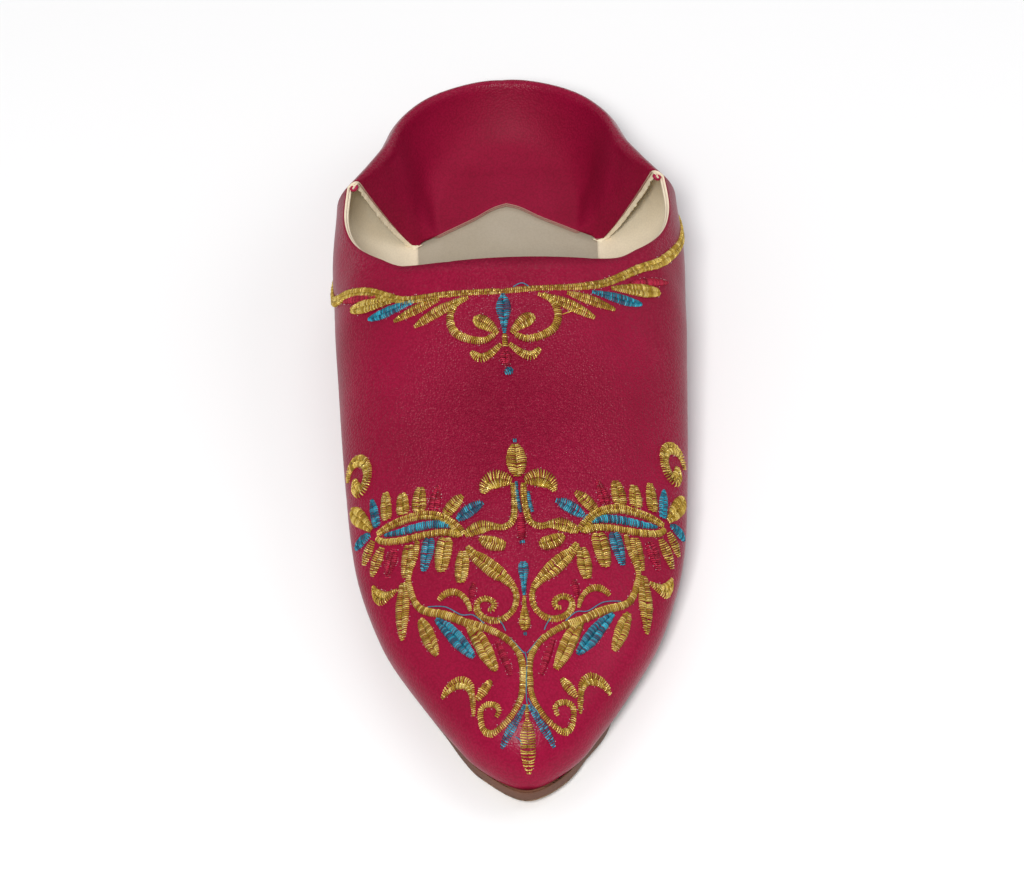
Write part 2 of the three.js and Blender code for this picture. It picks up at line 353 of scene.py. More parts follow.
    def vamp_rib(self, share: float, rows: int) -> Array:
        """Draws a rib of the vamp or a wing, from the foot to the collar.

        Args:
            share: 0 at the toe and the throat, 1 at the wing's peak.
            rows: steps up the rib.

        Returns:
            The points of the rib.
        """
        foot = self.foot_line.at(share * self.foot_to_peak)
        collar = self.collar_line.at(share * self.collar_line.total)
        girth = float(self.sections(foot[1])[1][0, -1])
        t = np.linspace(0, 1, rows + 1) ** (1.7 - 0.7 * share)
        heel = foot[1] + (collar[1] - foot[1]) * t
        return self.on_sections(heel, np.maximum(girth + (collar[0] - girth) * t, 1e-9))

    def quarter_rib(self, turn: float, wall_rows: int, fold_rows: int, flap_rows: int) -> Array:
        """Returns a rib of the quarter: up the wall, over the fold, down the folded leather.

        Args:
            turn: 0 at a wing's peak, 1 at the middle of the heel.
            wall_rows: steps up the wall.
            fold_rows: steps over the fold.
            flap_rows: steps along the folded leather.

        Returns:
            The points of the rib.
        """
        read = {n: float(c(turn)) for n, c in self.quarter.curves.items()}
        length = self.foot_to_peak + (self.foot_line.total - self.foot_to_peak) * turn
        foot = self.foot_line.at(length)
        along = self.foot_line.at(min(length + 0.5, self.foot_line.total))
        along = along - self.foot_line.at(length - 0.5)
        out = np.array([-along[1], along[0]]) / np.linalg.norm(along)
        if turn >= 1:
            out = np.array([0.0, -1.0])
        out = out + (np.array([1.0, 0.0]) - out) * max(0.0, 1 - turn / 0.15)
        out /= np.linalg.norm(out)
        reach = float(self.outline(self.peak_heel, self.margin))
        points, lengths = self.half_sections(
            reach, reach + read["lean"], read["belly_height"], read["ridge"]
        )
        section, lengths = points[0], lengths[0]
        top = self.down_to(section, lengths, read["crest"] - self.fold_radius)
        down = lengths[-1] + (top - lengths[-1]) * np.linspace(0, 1, wall_rows * 4 + 1)
        x = np.interp(down, lengths, section[:, 0]) - reach
        height = np.interp(down, lengths, section[:, 1])
        wall = Line(self.place(foot[0] + out[0] * x, foot[1] + out[1] * x, height))
        edge = self.place(
            self.chevron.read("x", turn), self.chevron.read("heel", turn), self.flap_floor
        )
        wall_top = wall.points[-1]
        up = wall_top - wall.at(wall.total - 0.5)
        up /= np.linalg.norm(up)
        inwards = (edge - wall_top) * (1, 1, 0)
        inwards /= np.linalg.norm(inwards)
        start = wall_top + inwards * 2 * self.fold_radius
        reach = float(np.hypot(*(edge - start)[:2]))
        run = min(read["run"], reach)
        u = np.linspace(0, 1, 121)[:, None]
        flap = start + (edge - start) * u
        left = np.maximum(0, 1 - u[:, 0] * reach / run)
        flap[:, 2] = edge[2] + (start[2] - edge[2]) * left ** read["fall"]
        flap_line = Line(flap)
        fall = flap_line.at(0.5) - start
        fall /= np.linalg.norm(fall)
        handle = 4 / 3 * self.fold_radius
        v = np.linspace(0, 1, fold_rows, endpoint=False)[:, None]
        fold = (
            (1 - v) ** 3 * wall_top
            + 3 * v * (1 - v) ** 2 * (wall_top + up * handle)
            + 3 * v**2 * (1 - v) * (start - fall * handle)
            + v**3 * start
        )
        wall_points = wall.at(wall.total * np.linspace(0, 1, wall_rows, endpoint=False))
        flap_points = flap_line.at(flap_line.total * np.linspace(0, 1, flap_rows + 1))
        return np.concatenate([wall_points, fold, flap_points])


@dataclass
class Surface:
    """The outside of the slipper's leather, in metres, where the CAD frame has it."""

    last: Last
    heel_y: float
    step: float = 0.4
    batch: int = 3000

    def metres(self, points: Array) -> Array:
        """Returns millimetre points of the last as places in the scene."""
        return points * MM + (0, self.heel_y, 0)

    def at(self, girth: Array, heel: Array) -> tuple[Array, Array]:
        """Finds flat-pattern places on the leather.

        Args:
            girth: lengths from the ridge, in millimetres.
            heel: distances from the heel end.

        Returns:
            The points in metres and the directions out of the leather there.
        """
        girth, heel = np.asarray(girth, float), np.asarray(heel, float)
        step = self.step
        points, normals = [], []
        for start in range(0, len(girth), self.batch):
            g, h = girth[start : start + self.batch], heel[start : start + self.batch]
            h = np.minimum(h, self.last.sole_length - self.last.margin - 2 * step)
            here = self.last.on_sections(h, g)
            across = self.last.on_sections(h, g + step) - self.last.on_sections(h, g - step)
            along = self.last.on_sections(h + step, g) - self.last.on_sections(h - step, g)
            out = np.cross(along, across)
            points.append(here)
            normals.append(out / np.maximum(np.linalg.norm(out, axis=1, keepdims=True), 1e-9))
        return self.metres(np.concatenate(points)), np.concatenate(normals)


# ---- Meshes ----------------------------------------------------------------------------------


def add_object(name: str, mesh: bpy.types.Mesh, materials: Sequence[bpy.types.Material]) -> Any:
    """Puts a mesh in the scene as a smooth piece.

    Args:
        name: the piece's name.
        mesh: its mesh, already in place.
        materials: its finishes, in the order of its faces' numbers.

    Returns:
        The new object.
    """
    mesh.name = name
    for material in materials:
        mesh.materials.append(material)
    mesh.polygons.foreach_set("use_smooth", [True] * len(mesh.polygons))
    obj = bpy.data.objects.new(name, mesh)
    bpy.context.scene.collection.objects.link(obj)
    return obj


def mesh_of(bm: bmesh.types.BMesh) -> bpy.types.Mesh:
    """Turns a bmesh into a mesh, and frees it.

    Args:
        bm: the bmesh.

    Returns:
        The mesh.
    """
    mesh = bpy.data.meshes.new("piece")
    bm.to_mesh(mesh)
    bm.free()
    return mesh


def shares(bm: bmesh.types.BMesh) -> tuple[Array, Array]:
    """Returns how far each point of a fresh grid lies across it and along it, from 0 to 1."""
    flat = np.array([v.co[:2] for v in bm.verts])
    return (flat[:, 0] + 1) / 2, (flat[:, 1] + 1) / 2


def move_to(bm: bmesh.types.BMesh, points: Array) -> None:
    """Moves the points of a bmesh."""
    for v, point in zip(bm.verts, points):
        v.co = point


def mirror(bm: bmesh.types.BMesh, merge_dist: float, weld: bool = False) -> None:
    """Adds a shape's other half, over the middle plane, and turns its faces one way.

    Args:
        bm: the shape.
        merge_dist: how near the plane, in metres, points are joined to their twins.
        weld: whether points that lie together are then made one.
    """
    whole = bm.verts[:] + bm.edges[:] + bm.faces[:]
    bmesh.ops.mirror(bm, geom=whole, matrix=Matrix(), merge_dist=merge_dist, axis="X")
    if weld:
        bmesh.ops.remove_doubles(bm, verts=bm.verts[:], dist=WELD)
    bmesh.ops.recalc_face_normals(bm, faces=bm.faces[:])


def thicken(obj: Any, thickness: float, offset: float) -> Any:
    """Gives a sheet its thickness.

    Args:
        obj: the piece.
        thickness: in millimetres.
        offset: -1 to grow inwards from the sheet, 0 to grow both ways.

    Returns:
        The modifier.
    """
    solid = obj.modifiers.new("thickness", "SOLIDIFY")
    solid.thickness = thickness * MM
    solid.offset = offset
    return solid


def ease(edge0: float, edge1: float, x: Array | float) -> Array:
    """Returns a smooth step from 0 at one edge to 1 at the other."""
    t = np.clip((np.asarray(x, float) - edge0) / (edge1 - edge0), 0, 1)
    return t * t * (3 - 2 * t)


def joined_copies(shape: bpy.types.Mesh, places: Array, layers: dict[str, Array]) -> Any:
    """Makes one mesh out of many copies of a small shape.

    Args:
        shape: the shape that is repeated.
        places: the points of every copy, as (copy, point, 3).
        layers: values for every point, by the name of the attribute, as (copy, point).

    Returns:
        The joined mesh.
    """
    copies, points = places.shape[:2]
    starts = np.array([p.loop_start for p in shape.polygons])
    corners = np.array([loop.vertex_index for loop in shape.loops])
    shift = np.arange(copies)[:, None]
    mesh = bpy.data.meshes.new("copies")
    mesh.vertices.add(copies * points)
    mesh.vertices.foreach_set("co", places.reshape(-1).astype(np.float32))
    mesh.loops.add(copies * len(corners))
    mesh.loops.foreach_set("vertex_index", (corners + shift * points).reshape(-1))
    mesh.polygons.add(copies * len(starts))
    mesh.polygons.foreach_set("loop_start", (starts + shift * len(corners)).reshape(-1))
    mesh.update(calc_edges=True)
    for name, values in layers.items():
        layer = mesh.attributes.new(name, "FLOAT", "POINT")
        layer.data.foreach_set("value", values.reshape(-1).astype(np.float32))
    return mesh


# ---- Soles -----------------------------------------------------------------------------------


@dataclass
class Board:
    """A board of leather cut to the sole's outline, bent up at the toe with the rest.

    Sizes are in millimetres. The tuck draws its edge in between the ball and the tip.
    """

    surface: Surface
    name: str
    node: str
    slot: str
    inset: float
    low: float
    thickness: float
    rounding: float
    ripple: float = 0.0
    tuck: float = 0.0
    tuck_grows: tuple[float, float] = (186, 218)
    tuck_ends: tuple[float, float] = (243, 257)
    across: int = 28
    along: int = 150

    def build(self) -> bmesh.types.BMesh:
        """Cuts the board.

        Returns:
            A closed board; the faces round its edge carry material 1, its underside 2.
        """
        last = self.surface.last
        bm = bmesh.new()
        bmesh.ops.create_grid(bm, x_segments=self.across, y_segments=self.along, size=1)
        side, length = shares(bm)
        side = np.sin((side - 0.5) * math.pi)
        span = last.sole_length - 2 * self.inset
        heel = self.inset + span * (1 - np.cos(math.pi * length)) / 2
        wave = np.sin(heel / 5.3) + 0.7 * np.sin(heel / 2.9 + 1.3 * np.sign(side))
        edge = last.outline(heel, self.inset)
        edge = edge - self.tuck * ease(*self.tuck_grows, heel) * (1 - ease(*self.tuck_ends, heel))
        x = side * (edge + self.ripple * wave * np.minimum(1, edge / 12) * np.abs(side) ** 6)
        points = last.place(x, heel, self.low + self.thickness)
        move_to(bm, self.surface.metres(points))
        bmesh.ops.remove_doubles(bm, verts=bm.verts[:], dist=WELD)
        bmesh.ops.recalc_face_normals(bm, faces=bm.faces[:])
        if sum(f.normal.z for f in bm.faces) < 0:
            bmesh.ops.reverse_faces(bm, faces=bm.faces[:])
        top = bm.faces[:]
        made = bmesh.ops.extrude_face_region(bm, geom=top, use_keep_orig=True)
        lowered = [g for g in made["geom"] if isinstance(g, bmesh.types.BMVert)]
        bmesh.ops.translate(bm, verts=lowered, vec=(0, 0, -self.thickness * MM))
        bmesh.ops.recalc_face_normals(bm, faces=bm.faces[:])
        for face in bm.faces:
            face.material_index = 1 if abs(face.normal.z) < 0.6 else 0 if face.normal.z > 0 else 2
        rims = [
            e
            for e in bm.edges
            if len(e.link_faces) == 2
            and (e.link_faces[0].material_index == 1) != (e.link_faces[1].material_index == 1)
        ]
        bmesh.ops.bevel(
            bm,
            geom=rims,
            offset=self.rounding * MM,
            offset_type="OFFSET",
            segments=3,
            profile=0.5,
            affect="EDGES",
            material=-1,
        )
        return bm

    def dress(self, bm: bmesh.types.BMesh, finishes: Sequence[bpy.types.Material]) -> Any:
        """Makes the board a piece in place of its CAD node.

        Args:
            bm: the cut board.
            finishes: its top, its edge and its underside.

        Returns:
            The piece.
        """
        obj = add_object(self.name, mesh_of(bm), finishes)
        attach(obj, "root")
        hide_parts(self.node)
        return obj


# ---- Upper -----------------------------------------------------------------------------------


class Crease(NamedTuple):
    """A soft trough, or a ridge where its depth is negative, told in the slipper's own plan."""

    x0: float
    heel0: float
    x1: float
    heel1: float
    half_width: float
    depth: float


@dataclass
class Upper:
    """The vamp, the wings and the quarter that is folded down inside, as one sheet.

    Sizes are in millimetres. Each wrinkle is a fineness and a depth. What starts with turned
    belongs to the lining that shows along the flap's side edges.
    """

    surface: Surface
    ribs: int = 120
    rows: int = 50
    quarter_ribs: int = 76
    fold_rows: int = 10
    flap_rows: int = 30
    leather: float = 0.9
    lining: float = 0.6
    scrap_size: tuple[float, float, float] = (1.35, 1.3, 1.05)
    scrap_out: float = 0.8
    rise_span: float = 50.0
    shut_height: float = 2.4
    shut_depth: float = 0.9
    pulled_heel: float = 158.0
    pulled_reach: tuple[float, float] = (40.0, 34.0)
    fold_pulled: float = 0.12
    wrinkles: tuple[tuple[float, float], ...] = ((38, 0.28), (95, 0.12))
    wrinkle_depth: float = 0.25
    flap_wrinkled: float = 1.3
    crease_end: float = 0.35
    seam: float = 0.03
    turned_rows: int = 46
    turned_turn: float = 0.035
    turned_from: float = -1.2
    turned_width: float = 2.5
    turned_under: float = 1.15
    turned_thickness: float = 0.5
    flap_creases: tuple[Crease, ...] = (
        Crease(26, 57, 27, 44, 2.2, 0.5),
        Crease(27, 44, 25, 29, 2.0, 0.45),
        Crease(-26, 57, -26, 42, 2.0, 0.6),
        Crease(-26, 42, -23, 27, 2.4, 0.45),
        Crease(20, 26, -19, 24, 3.0, 0.35),
        Crease(9, 34, 16, 44, 3.0, -0.25),
        Crease(-12, 30, -7, 41, 3.5, -0.25),
        Crease(33, 52, 38, 36, 2.2, 0.4),
        Crease(-33, 50, -37, 33, 2.4, 0.35),
    )
    vamp_creases: tuple[Crease, ...] = (
        Crease(36, 103, 47, 118, 5, 0.35),
        Crease(-34, 104, -46, 121, 5, 0.4),
        Crease(-20, 152, 22, 149, 9, 0.25),
        Crease(-34, 186, 30, 190, 7, 0.2),
        Crease(46, 88, 51, 104, 4, 0.35),
        Crease(-47, 86, -51, 102, 4, 0.35),
        Crease(-12, 112, 14, 113, 4, -0.3),
        Crease(-18, 104, -17, 113, 1.5, 0.22),
        Crease(-31, 100, -32, 113, 1.8, 0.28),
        Crease(24, 103, 25, 112, 1.6, 0.2),
    )

    def vamp_points(self) -> Array:
        """Returns the ribs of one half of the vamp and its wing, as (rib, row, 3)."""
        shares_round = (np.arange(self.ribs + 1) / self.ribs) ** 1.3
        return np.array([self.surface.last.vamp_rib(s, self.rows) for s in shares_round])

    def quarter_points(self) -> Array:
        """Draws one half of the quarter.

        Returns:
            Its ribs, as (rib, row, 3).
        """
        last = self.surface.last
        turns = np.arange(self.quarter_ribs + 1) / self.quarter_ribs
        rows = self.rows, self.fold_rows, self.flap_rows
        return np.array([last.quarter_rib(t, *rows) for t in turns])

    def half(self) -> bmesh.types.BMesh:
        """Lays out one half of the sheet.

        Returns:
            A bmesh with layers for the flap, the fold, the height over the sole and how
            far the leather is pulled tight.
        """
        vamp, quarter = self.vamp_points(), self.quarter_points()
        quarter[0, : self.rows + 1] = vamp[-1]
        bm = bmesh.new()
        names = ("flap", "fold", "rise", "pulled")
        layers = [bm.verts.layers.float.new(n) for n in names]
        low = self.surface.last.foot_height
        for grid, is_quarter in ((vamp, False), (quarter, True)):
            ribs, rows = grid.shape[0] - 1, grid.shape[1] - 1
            first = len(bm.verts)
            bmesh.ops.create_grid(bm, x_segments=ribs, y_segments=rows, size=1)
            for v in list(bm.verts)[first:]:
                rib = round((v.co.x + 1) / 2 * ribs)
                row = round((v.co.y + 1) / 2 * rows)
                point = grid[rib, row]
                past = row - self.rows if is_quarter else 0
                v[layers[0]] = float(ease(self.fold_rows * 0.6, self.fold_rows * 1.5, past))
                near = abs(row - self.rows - self.fold_rows / 2 * is_quarter)
                v[layers[1]] = float(1 - ease(2, 6, near))
                v[layers[2]] = (point[2] - low) / self.rise_span
                across = point[0] / self.pulled_reach[0]
                along = (point[1] + self.pulled_heel) / self.pulled_reach[1]
                pulled = math.exp(-(along**2) - across**2)
                v[layers[3]] = max(pulled * (not is_quarter), self.fold_pulled * v[layers[1]])
                v.co = self.surface.metres(point)
        bmesh.ops.remove_doubles(bm, verts=bm.verts[:], dist=WELD)
        return bm

    def crease_depth(self, point: Vector, is_flap: bool) -> float:
        """Adds up how far the listed creases push the leather in.

        Args:
            point: a place in the scene.
            is_flap: whether it lies on the folded leather.

        Returns:
            The depth in millimetres.
        """
        x, heel = point.x / MM, (self.surface.heel_y - point.y) / MM
        total = 0.0
        for c in self.flap_creases if is_flap else self.vamp_creases:
            run = Vector((c.x1 - c.x0, c.heel1 - c.heel0))
            to = Vector((x - c.x0, heel - c.heel0))
            along = max(0.0, min(1.0, to.dot(run) / run.length_squared))
            away = (to - run * along).length / c.half_width
            fade = self.crease_end + (1 - self.crease_end) * math.sin(math.pi * along)
            total += c.depth * math.exp(-away * away) * fade
        return total

    def sheet(self) -> bmesh.types.BMesh:
        """Mirrors the half, closes its seams and works the leather.

        Returns:
            The whole outer face of the leather, its faces pointing out.
        """
        bm = self.half()
        mirror(bm, 2 * WELD, weld=True)
        crown = max(bm.faces, key=lambda f: f.calc_center_median().z)
        if crown.normal.z < 0:
            bmesh.ops.reverse_faces(bm, faces=bm.faces[:])
        bm.normal_update()
        flap, rise = bm.verts.layers.float["flap"], bm.verts.layers.float["rise"]
        moves = []
        for v in bm.verts:
            is_flap = v[flap] > 0.5
            shut = max(0.0, 1 - v[rise] * self.rise_span / self.shut_height) ** 2
            shut *= self.shut_depth * (1 - v[flap])
            wave = sum(high * noise.noise(v.co * size) for size, high in self.wrinkles)
            wave *= self.flap_wrinkled if is_flap else 1
            depth = self.crease_depth(v.co, is_flap) + shut + self.wrinkle_depth * wave
            moves.append(v.normal * (-depth * MM))
        for v, move in zip(bm.verts, moves):
            v.co += move
        bm.normal_update()
        return bm

    def wall(
        self, bm: bmesh.types.BMesh, name: str, depth: float, thick: float, finishes: Sequence[Any]
    ) -> Any:
        """Makes a layer of the upper out of the sheet.

        Args:
            bm: the sheet.
            name: the piece's name.
            depth: how far under the outer face the layer starts, in millimetres.
            thick: the layer's thickness.
            finishes: its face, its back and its cut edge.

        Returns:
            The piece.
        """
        layer = bm.copy()
        for v, source in zip(layer.verts, bm.verts):
            v.co = source.co - source.normal * depth * MM
        obj = add_object(name, mesh_of(layer), finishes)
        solid = thicken(obj, thick, -1)
        solid.material_offset = 1
        solid.material_offset_rim = 2
        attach(obj, "root")
        return obj

    def turnings(self, finish: bpy.types.Material) -> Any:
        """Makes the rough lining that shows along the flap's two side edges.

        Args:
            finish: the lining's finish.

        Returns:
            The piece, one strip on each side.
        """
        last = self.surface.last
        rows = self.rows, self.fold_rows, self.turned_rows
        turns = 0.0, self.turned_turn
        edge, inner = (last.quarter_rib(t, *rows)[self.rows + 3 :] for t in turns)
        away = edge - inner
        away /= np.linalg.norm(away, axis=1, keepdims=True)
        along = np.gradient(edge, axis=0)
        out = np.cross(along, away)
        out /= np.linalg.norm(out, axis=1, keepdims=True)
        out *= np.sign(out[:, 2:])
        bm = bmesh.new()
        count = len(edge) - 1
        bmesh.ops.create_grid(bm, x_segments=6, y_segments=count, size=1)
        for v in bm.verts:
            share, row = (v.co.x + 1) / 2, round((v.co.y + 1) / 2 * count)
            fray = 0.55 * noise.noise(Vector((row * 0.45, 3.1, 0)))
            fray += 0.3 * noise.noise(Vector((row * 1.3, 9.7, 0)))
            reach = self.turned_from + share * (self.turned_width + fray)
            uneven = noise.noise(Vector((row * 0.3, share * 2, 5)))
            sag = self.turned_under + 0.35 * share**2 + 0.35 * uneven
            v.co = self.surface.metres(edge[row] + away[row] * reach - out[row] * sag)
        mirror(bm, 1e-6)
        for v in bm.verts:
            v.co.z += 0.0003 * noise.noise(v.co * 170)
        obj = add_object("turned_lining", mesh_of(bm), [finish])
        thicken(obj, self.turned_thickness, 0)
        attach(obj, "root")
        return obj

    def scraps(self, finish: bpy.types.Material) -> Any:
        """Makes the scrap of leather caught in the fold at each wing's peak.

        Args:
            finish: the scrap's finish.

        Returns:
            The piece, one scrap on each side.
        """
        last = self.surface.last
        rib = last.quarter_rib(0.0, self.rows, self.fold_rows, self.flap_rows)
        middle = (rib[self.rows] + rib[self.rows + self.fold_rows]) / 2
        place = Vector([float(c) for c in self.surface.metres(middle)])
        place.y -= self.scrap_out * MM
        bm = bmesh.new()
        bmesh.ops.create_uvsphere(bm, u_segments=20, v_segments=12, radius=1)
        bmesh.ops.scale(bm, verts=bm.verts[:], vec=[r * MM for r in self.scrap_size])
        for v in bm.verts:
            v.co += v.co.normalized() * 0.25 * MM * noise.noise(v.co * 900)
        bmesh.ops.translate(bm, verts=bm.verts[:], vec=place)
        mirror(bm, 1e-6)
        obj = add_object("peak_scraps", mesh_of(bm), [finish])
        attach(obj, "root")
        return obj


# ---- Embroidery ------------------------------------------------------------------------------


class Thread(Enum):
    """The threads that the pattern is worked in."""

    GOLD = "gold"
    TEAL = "teal"
    RED = "red"


class Side(Enum):
    """Where an element of the pattern is worked."""

    BOTH = "both"
    MIDDLE = "middle"
    RIGHT = "right"
    LEFT = "left"

    @property
    def signs(self) -> tuple[int, ...]:
        """Returns the side or sides, 1 being the right."""
        return (1, -1) if self is Side.BOTH else (-1,) if self is Side.LEFT else (1,)


class Mark(NamedTuple):
    """A place on an element's middle line, in millimetres on the flat leather."""

    out: float
    heel: float
    half_width: float


class Element(NamedTuple):
    """One padded satin shape of the pattern."""

    name: str
    thread: Thread
    side: Side
    marks: tuple[Mark, ...]


class Slack(NamedTuple):
    """A thread carried loosely over the leather from one shape to the next."""

    thread: Thread
    side: Side
    places: tuple[tuple[float, float], ...]


# The pattern, worked from the collar to the toe. Each shape's marks are its distance out from
# the pattern's middle line, its distance from the heel end and its half width.


def shape(name: str, thread: Thread, side: Side, *marks: tuple[float, float, float]) -> Element:
    """Returns an element from its marks, each told as out, heel and half width."""
    return Element(name, thread, side, tuple(Mark(*m) for m in marks))


GOLD, TEAL, RED = Thread.GOLD, Thread.TEAL, Thread.RED
BOTH, MIDDLE, RIGHT, LEFT = Side.BOTH, Side.MIDDLE, Side.RIGHT, Side.LEFT

COLLAR_BAND = (
    shape("band", GOLD, RIGHT, (0, 117.8, 0.8), (10, 117, 0.8), (18.8, 116.2, 0.9),
          (24, 115.2, 1.1), (30, 113.2, 1.1), (35.5, 109.8, 1.2), (42, 104.8, 1.3), (49.5, 99.4, 1.5),
          (55.8, 92.6, 1.5), (61.2, 85.2, 1.4), (65.2, 77.5, 1.3), (68, 70, 1.1), (69, 66, 0.5)),
    shape("band", GOLD, LEFT, (0, 117.8, 0.8), (10, 117.3, 0.8), (18.8, 116.6, 0.9),
          (24, 116.4, 1.1), (30, 115.2, 1.1), (35.5, 112, 1.2), (42, 107.8, 1.4), (50.5, 103.6, 1.5),
          (56, 101.6, 1.5), (60.5, 99, 1.5), (64.5, 95, 1.4), (68, 89, 1.2), (70.5, 82, 0.5)),
    shape("inner leaf", GOLD, BOTH, (10, 118.7, 0.5), (17.3, 120.8, 1.6), (21.5, 122.3, 1.6),
          (26.5, 124.3, 0.6)),
    shape("second leaf", GOLD, BOTH, (18.5, 117.8, 0.5), (25.3, 119.2, 1.5), (33, 120.7, 0.6)),
    shape("teal leaf", TEAL, BOTH, (26, 116.6, 0.4), (33.6, 117, 1.5), (38, 117, 1.4),
          (42, 116.5, 0.5)),
    shape("outer leaf", GOLD, BOTH, (32, 114.4, 0.5), (40.6, 112.5, 1.9), (45, 111.2, 1.9),
          (49.2, 109.8, 1.0)),
    shape("red leaf", RED, BOTH, (38.5, 110.9, 0.4), (46, 107.8, 1.2), (53, 104.5, 0.4)),
    shape("teal drop", TEAL, MIDDLE, (0, 118.4, 0.4), (0, 121, 2.0), (0, 123.5, 2.2),
          (0, 127, 1.1), (0, 130.3, 0.4)),
    shape("curl", GOLD, BOTH, (11.6, 118.6, 0.7), (14.4, 120.8, 1.0), (15.7, 124.4, 1.1),
          (14.3, 128.6, 1.2), (10.2, 131.2, 1.2), (6, 132, 1.0), (2.8, 130.4, 0.7)),
    shape("inner curl", GOLD, BOTH, (1.8, 130.2, 0.6), (4, 128, 1.6), (6.4, 126.3, 2.2),
          (8.8, 125.2, 1.2)),
    shape("hook", GOLD, BOTH, (1.2, 133.4, 0.6), (4.4, 136.2, 1.1), (7.4, 137.2, 1.3),
          (9.9, 135, 0.8)),
    shape("stalk", GOLD, MIDDLE, (0, 130.5, 0.7), (0, 134.4, 0.8)),
    shape("red drop", RED, MIDDLE, (0, 135.4, 0.7), (0, 137.6, 1.8), (0, 140, 0.9)),
    shape("teal tip", TEAL, MIDDLE, (-0.7, 142.4, 0.6), (0.8, 141.6, 1.3), (1.6, 141, 0.6)),
)

CROWN = (
    shape("bead", TEAL, MIDDLE, (-0.6, 162.8, 0.5), (0.6, 162.8, 0.5)),
    shape("bud", GOLD, MIDDLE, (0, 163.8, 1.2), (0, 165.5, 2.3), (0, 168.5, 3.2),
          (0, 171, 2.7), (0, 173.6, 1.5)),
    shape("petal", GOLD, BOTH, (1.7, 175, 1.2), (4.4, 174.1, 2.5), (6.8, 174.1, 2.9),
          (9, 175.4, 2.3), (10.3, 178, 0.9)),
    shape("stem", GOLD, BOTH, (1.5, 175.4, 0.8), (1.4, 179.4, 0.9), (1.7, 183.6, 0.9),
          (2.6, 186.9, 0.9), (5.2, 188.3, 0.9), (7.9, 187.8, 1.0), (11, 187.7, 2.1),
          (14, 188.6, 1.7), (16.2, 189.6, 0.8)),
    shape("thread", TEAL, MIDDLE, (-0.5, 175, 0.3), (-0.5, 180, 0.6), (0.2, 184.2, 0.4)),
    shape("edging", TEAL, RIGHT, (2.7, 178, 0.3), (2.8, 181, 0.5), (3.5, 184.2, 0.3)),
    shape("drop", RED, MIDDLE, (0, 184.8, 0.8), (0, 188.6, 1.2), (0, 192.2, 0.8)),
    shape("drop tip", TEAL, MIDDLE, (-0.8, 192.9, 0.4), (0.8, 192.7, 0.4)),
    shape("teal leaf", TEAL, BOTH, (10.2, 180.6, 0.6), (12.6, 181.6, 1.7), (15.4, 183.2, 1.9),
          (18, 184.9, 0.9)),
    shape("outer leaf", GOLD, BOTH, (16, 177.9, 0.8), (18.4, 179.9, 1.9), (21.5, 183.1, 1.6)),
    shape("spur", GOLD, BOTH, (12, 190.9, 0.9), (9.6, 192.4, 2.0), (7, 193.3, 2.1),
          (4.8, 193.9, 1.4)),
)

WING_RING = (
    shape("upper rib", GOLD, BOTH, (42.3, 183.6, 1.0), (38, 182.6, 1.2), (33.5, 182, 1.3),
          (29, 181.8, 1.3), (24.6, 182.6, 1.3), (21, 184.6, 1.3), (18.6, 187, 1.5),
          (17, 189.8, 1.9)),
    shape("lower rib", GOLD, BOTH, (42.6, 184.6, 0.8), (40, 186.6, 0.9), (35, 187.7, 1.0),
          (30.4, 187.9, 1.0), (26, 187.8, 1.0), (21.5, 188.1, 1.0), (17.6, 189.3, 1.2)),
    shape("teal heart", TEAL, BOTH, (40, 184.7, 0.4), (35, 185.2, 1.0), (30, 185.1, 1.2),
          (25.5, 185.1, 1.2), (22, 185.8, 0.9), (20, 186.7, 0.4)),
    shape("red finger", RED, BOTH, (22.7, 173.8, 0.4), (23.8, 177.4, 1.5), (24.6, 180.8, 2.0)),
    shape("first finger", GOLD, BOTH, (28, 173.4, 1.4), (28.6, 177, 2.2), (28.9, 180.6, 2.3)),
    shape("second finger", GOLD, BOTH, (33.6, 173.8, 1.3), (33.7, 177, 2.0), (33.7, 180.4, 2.1)),
    shape("third finger", GOLD, BOTH, (38.8, 171.9, 1.1), (38.9, 176, 1.8), (38.9, 180.4, 1.8)),
    shape("teal finger", TEAL, BOTH, (43.6, 172.3, 0.4), (43, 176, 1.4), (42.2, 181.4, 1.2)),
    shape("curling leaf", GOLD, BOTH, (44, 181.6, 0.8), (48, 176.6, 2.3), (50.8, 173.4, 2.2),
          (52.5, 171, 0.9)),
    shape("outer curl", GOLD, BOTH, (54.3, 161.5, 0.9), (52.6, 158.6, 1.4), (49, 157.8, 1.8),
          (45.9, 159.6, 1.7), (44.7, 163, 1.6), (45.6, 166.4, 1.7), (48, 167.8, 1.9),
          (49.9, 165.4, 1.8), (50, 162.8, 1.0)),
    shape("side leaf", TEAL, BOTH, (44.6, 182.6, 0.6), (48, 183, 1.7), (51.5, 183.6, 0.8)),
    shape("low leaf", GOLD, BOTH, (43.8, 184.8, 0.9), (46, 187.4, 1.8), (48.2, 190, 0.8)),
    shape("low leaf in", GOLD, BOTH, (40.8, 187.8, 1.0), (43, 191, 2.0), (45.2, 194.6, 0.8)),
    shape("red leaf", RED, BOTH, (36.9, 189.4, 1.2), (38.4, 193, 1.9), (39.9, 197, 0.6)),
    shape("stem leaf", GOLD, BOTH, (32.4, 189.6, 1.7), (33.2, 194, 1.9), (34.4, 198.6, 1.0)),
    shape("teal tail", TEAL, BOTH, (26.3, 188.9, 1.8), (27.2, 193, 2.0), (28.5, 198.2, 1.0)),
    shape("broad leaf", GOLD, BOTH, (21.6, 189.6, 2.2), (22.6, 194.4, 2.6), (23.4, 199.4, 1.6)),
    shape("narrow leaf", GOLD, BOTH, (16.8, 194.2, 1.4), (17.3, 198.8, 2.2), (17.9, 203.4, 1.4)),
)

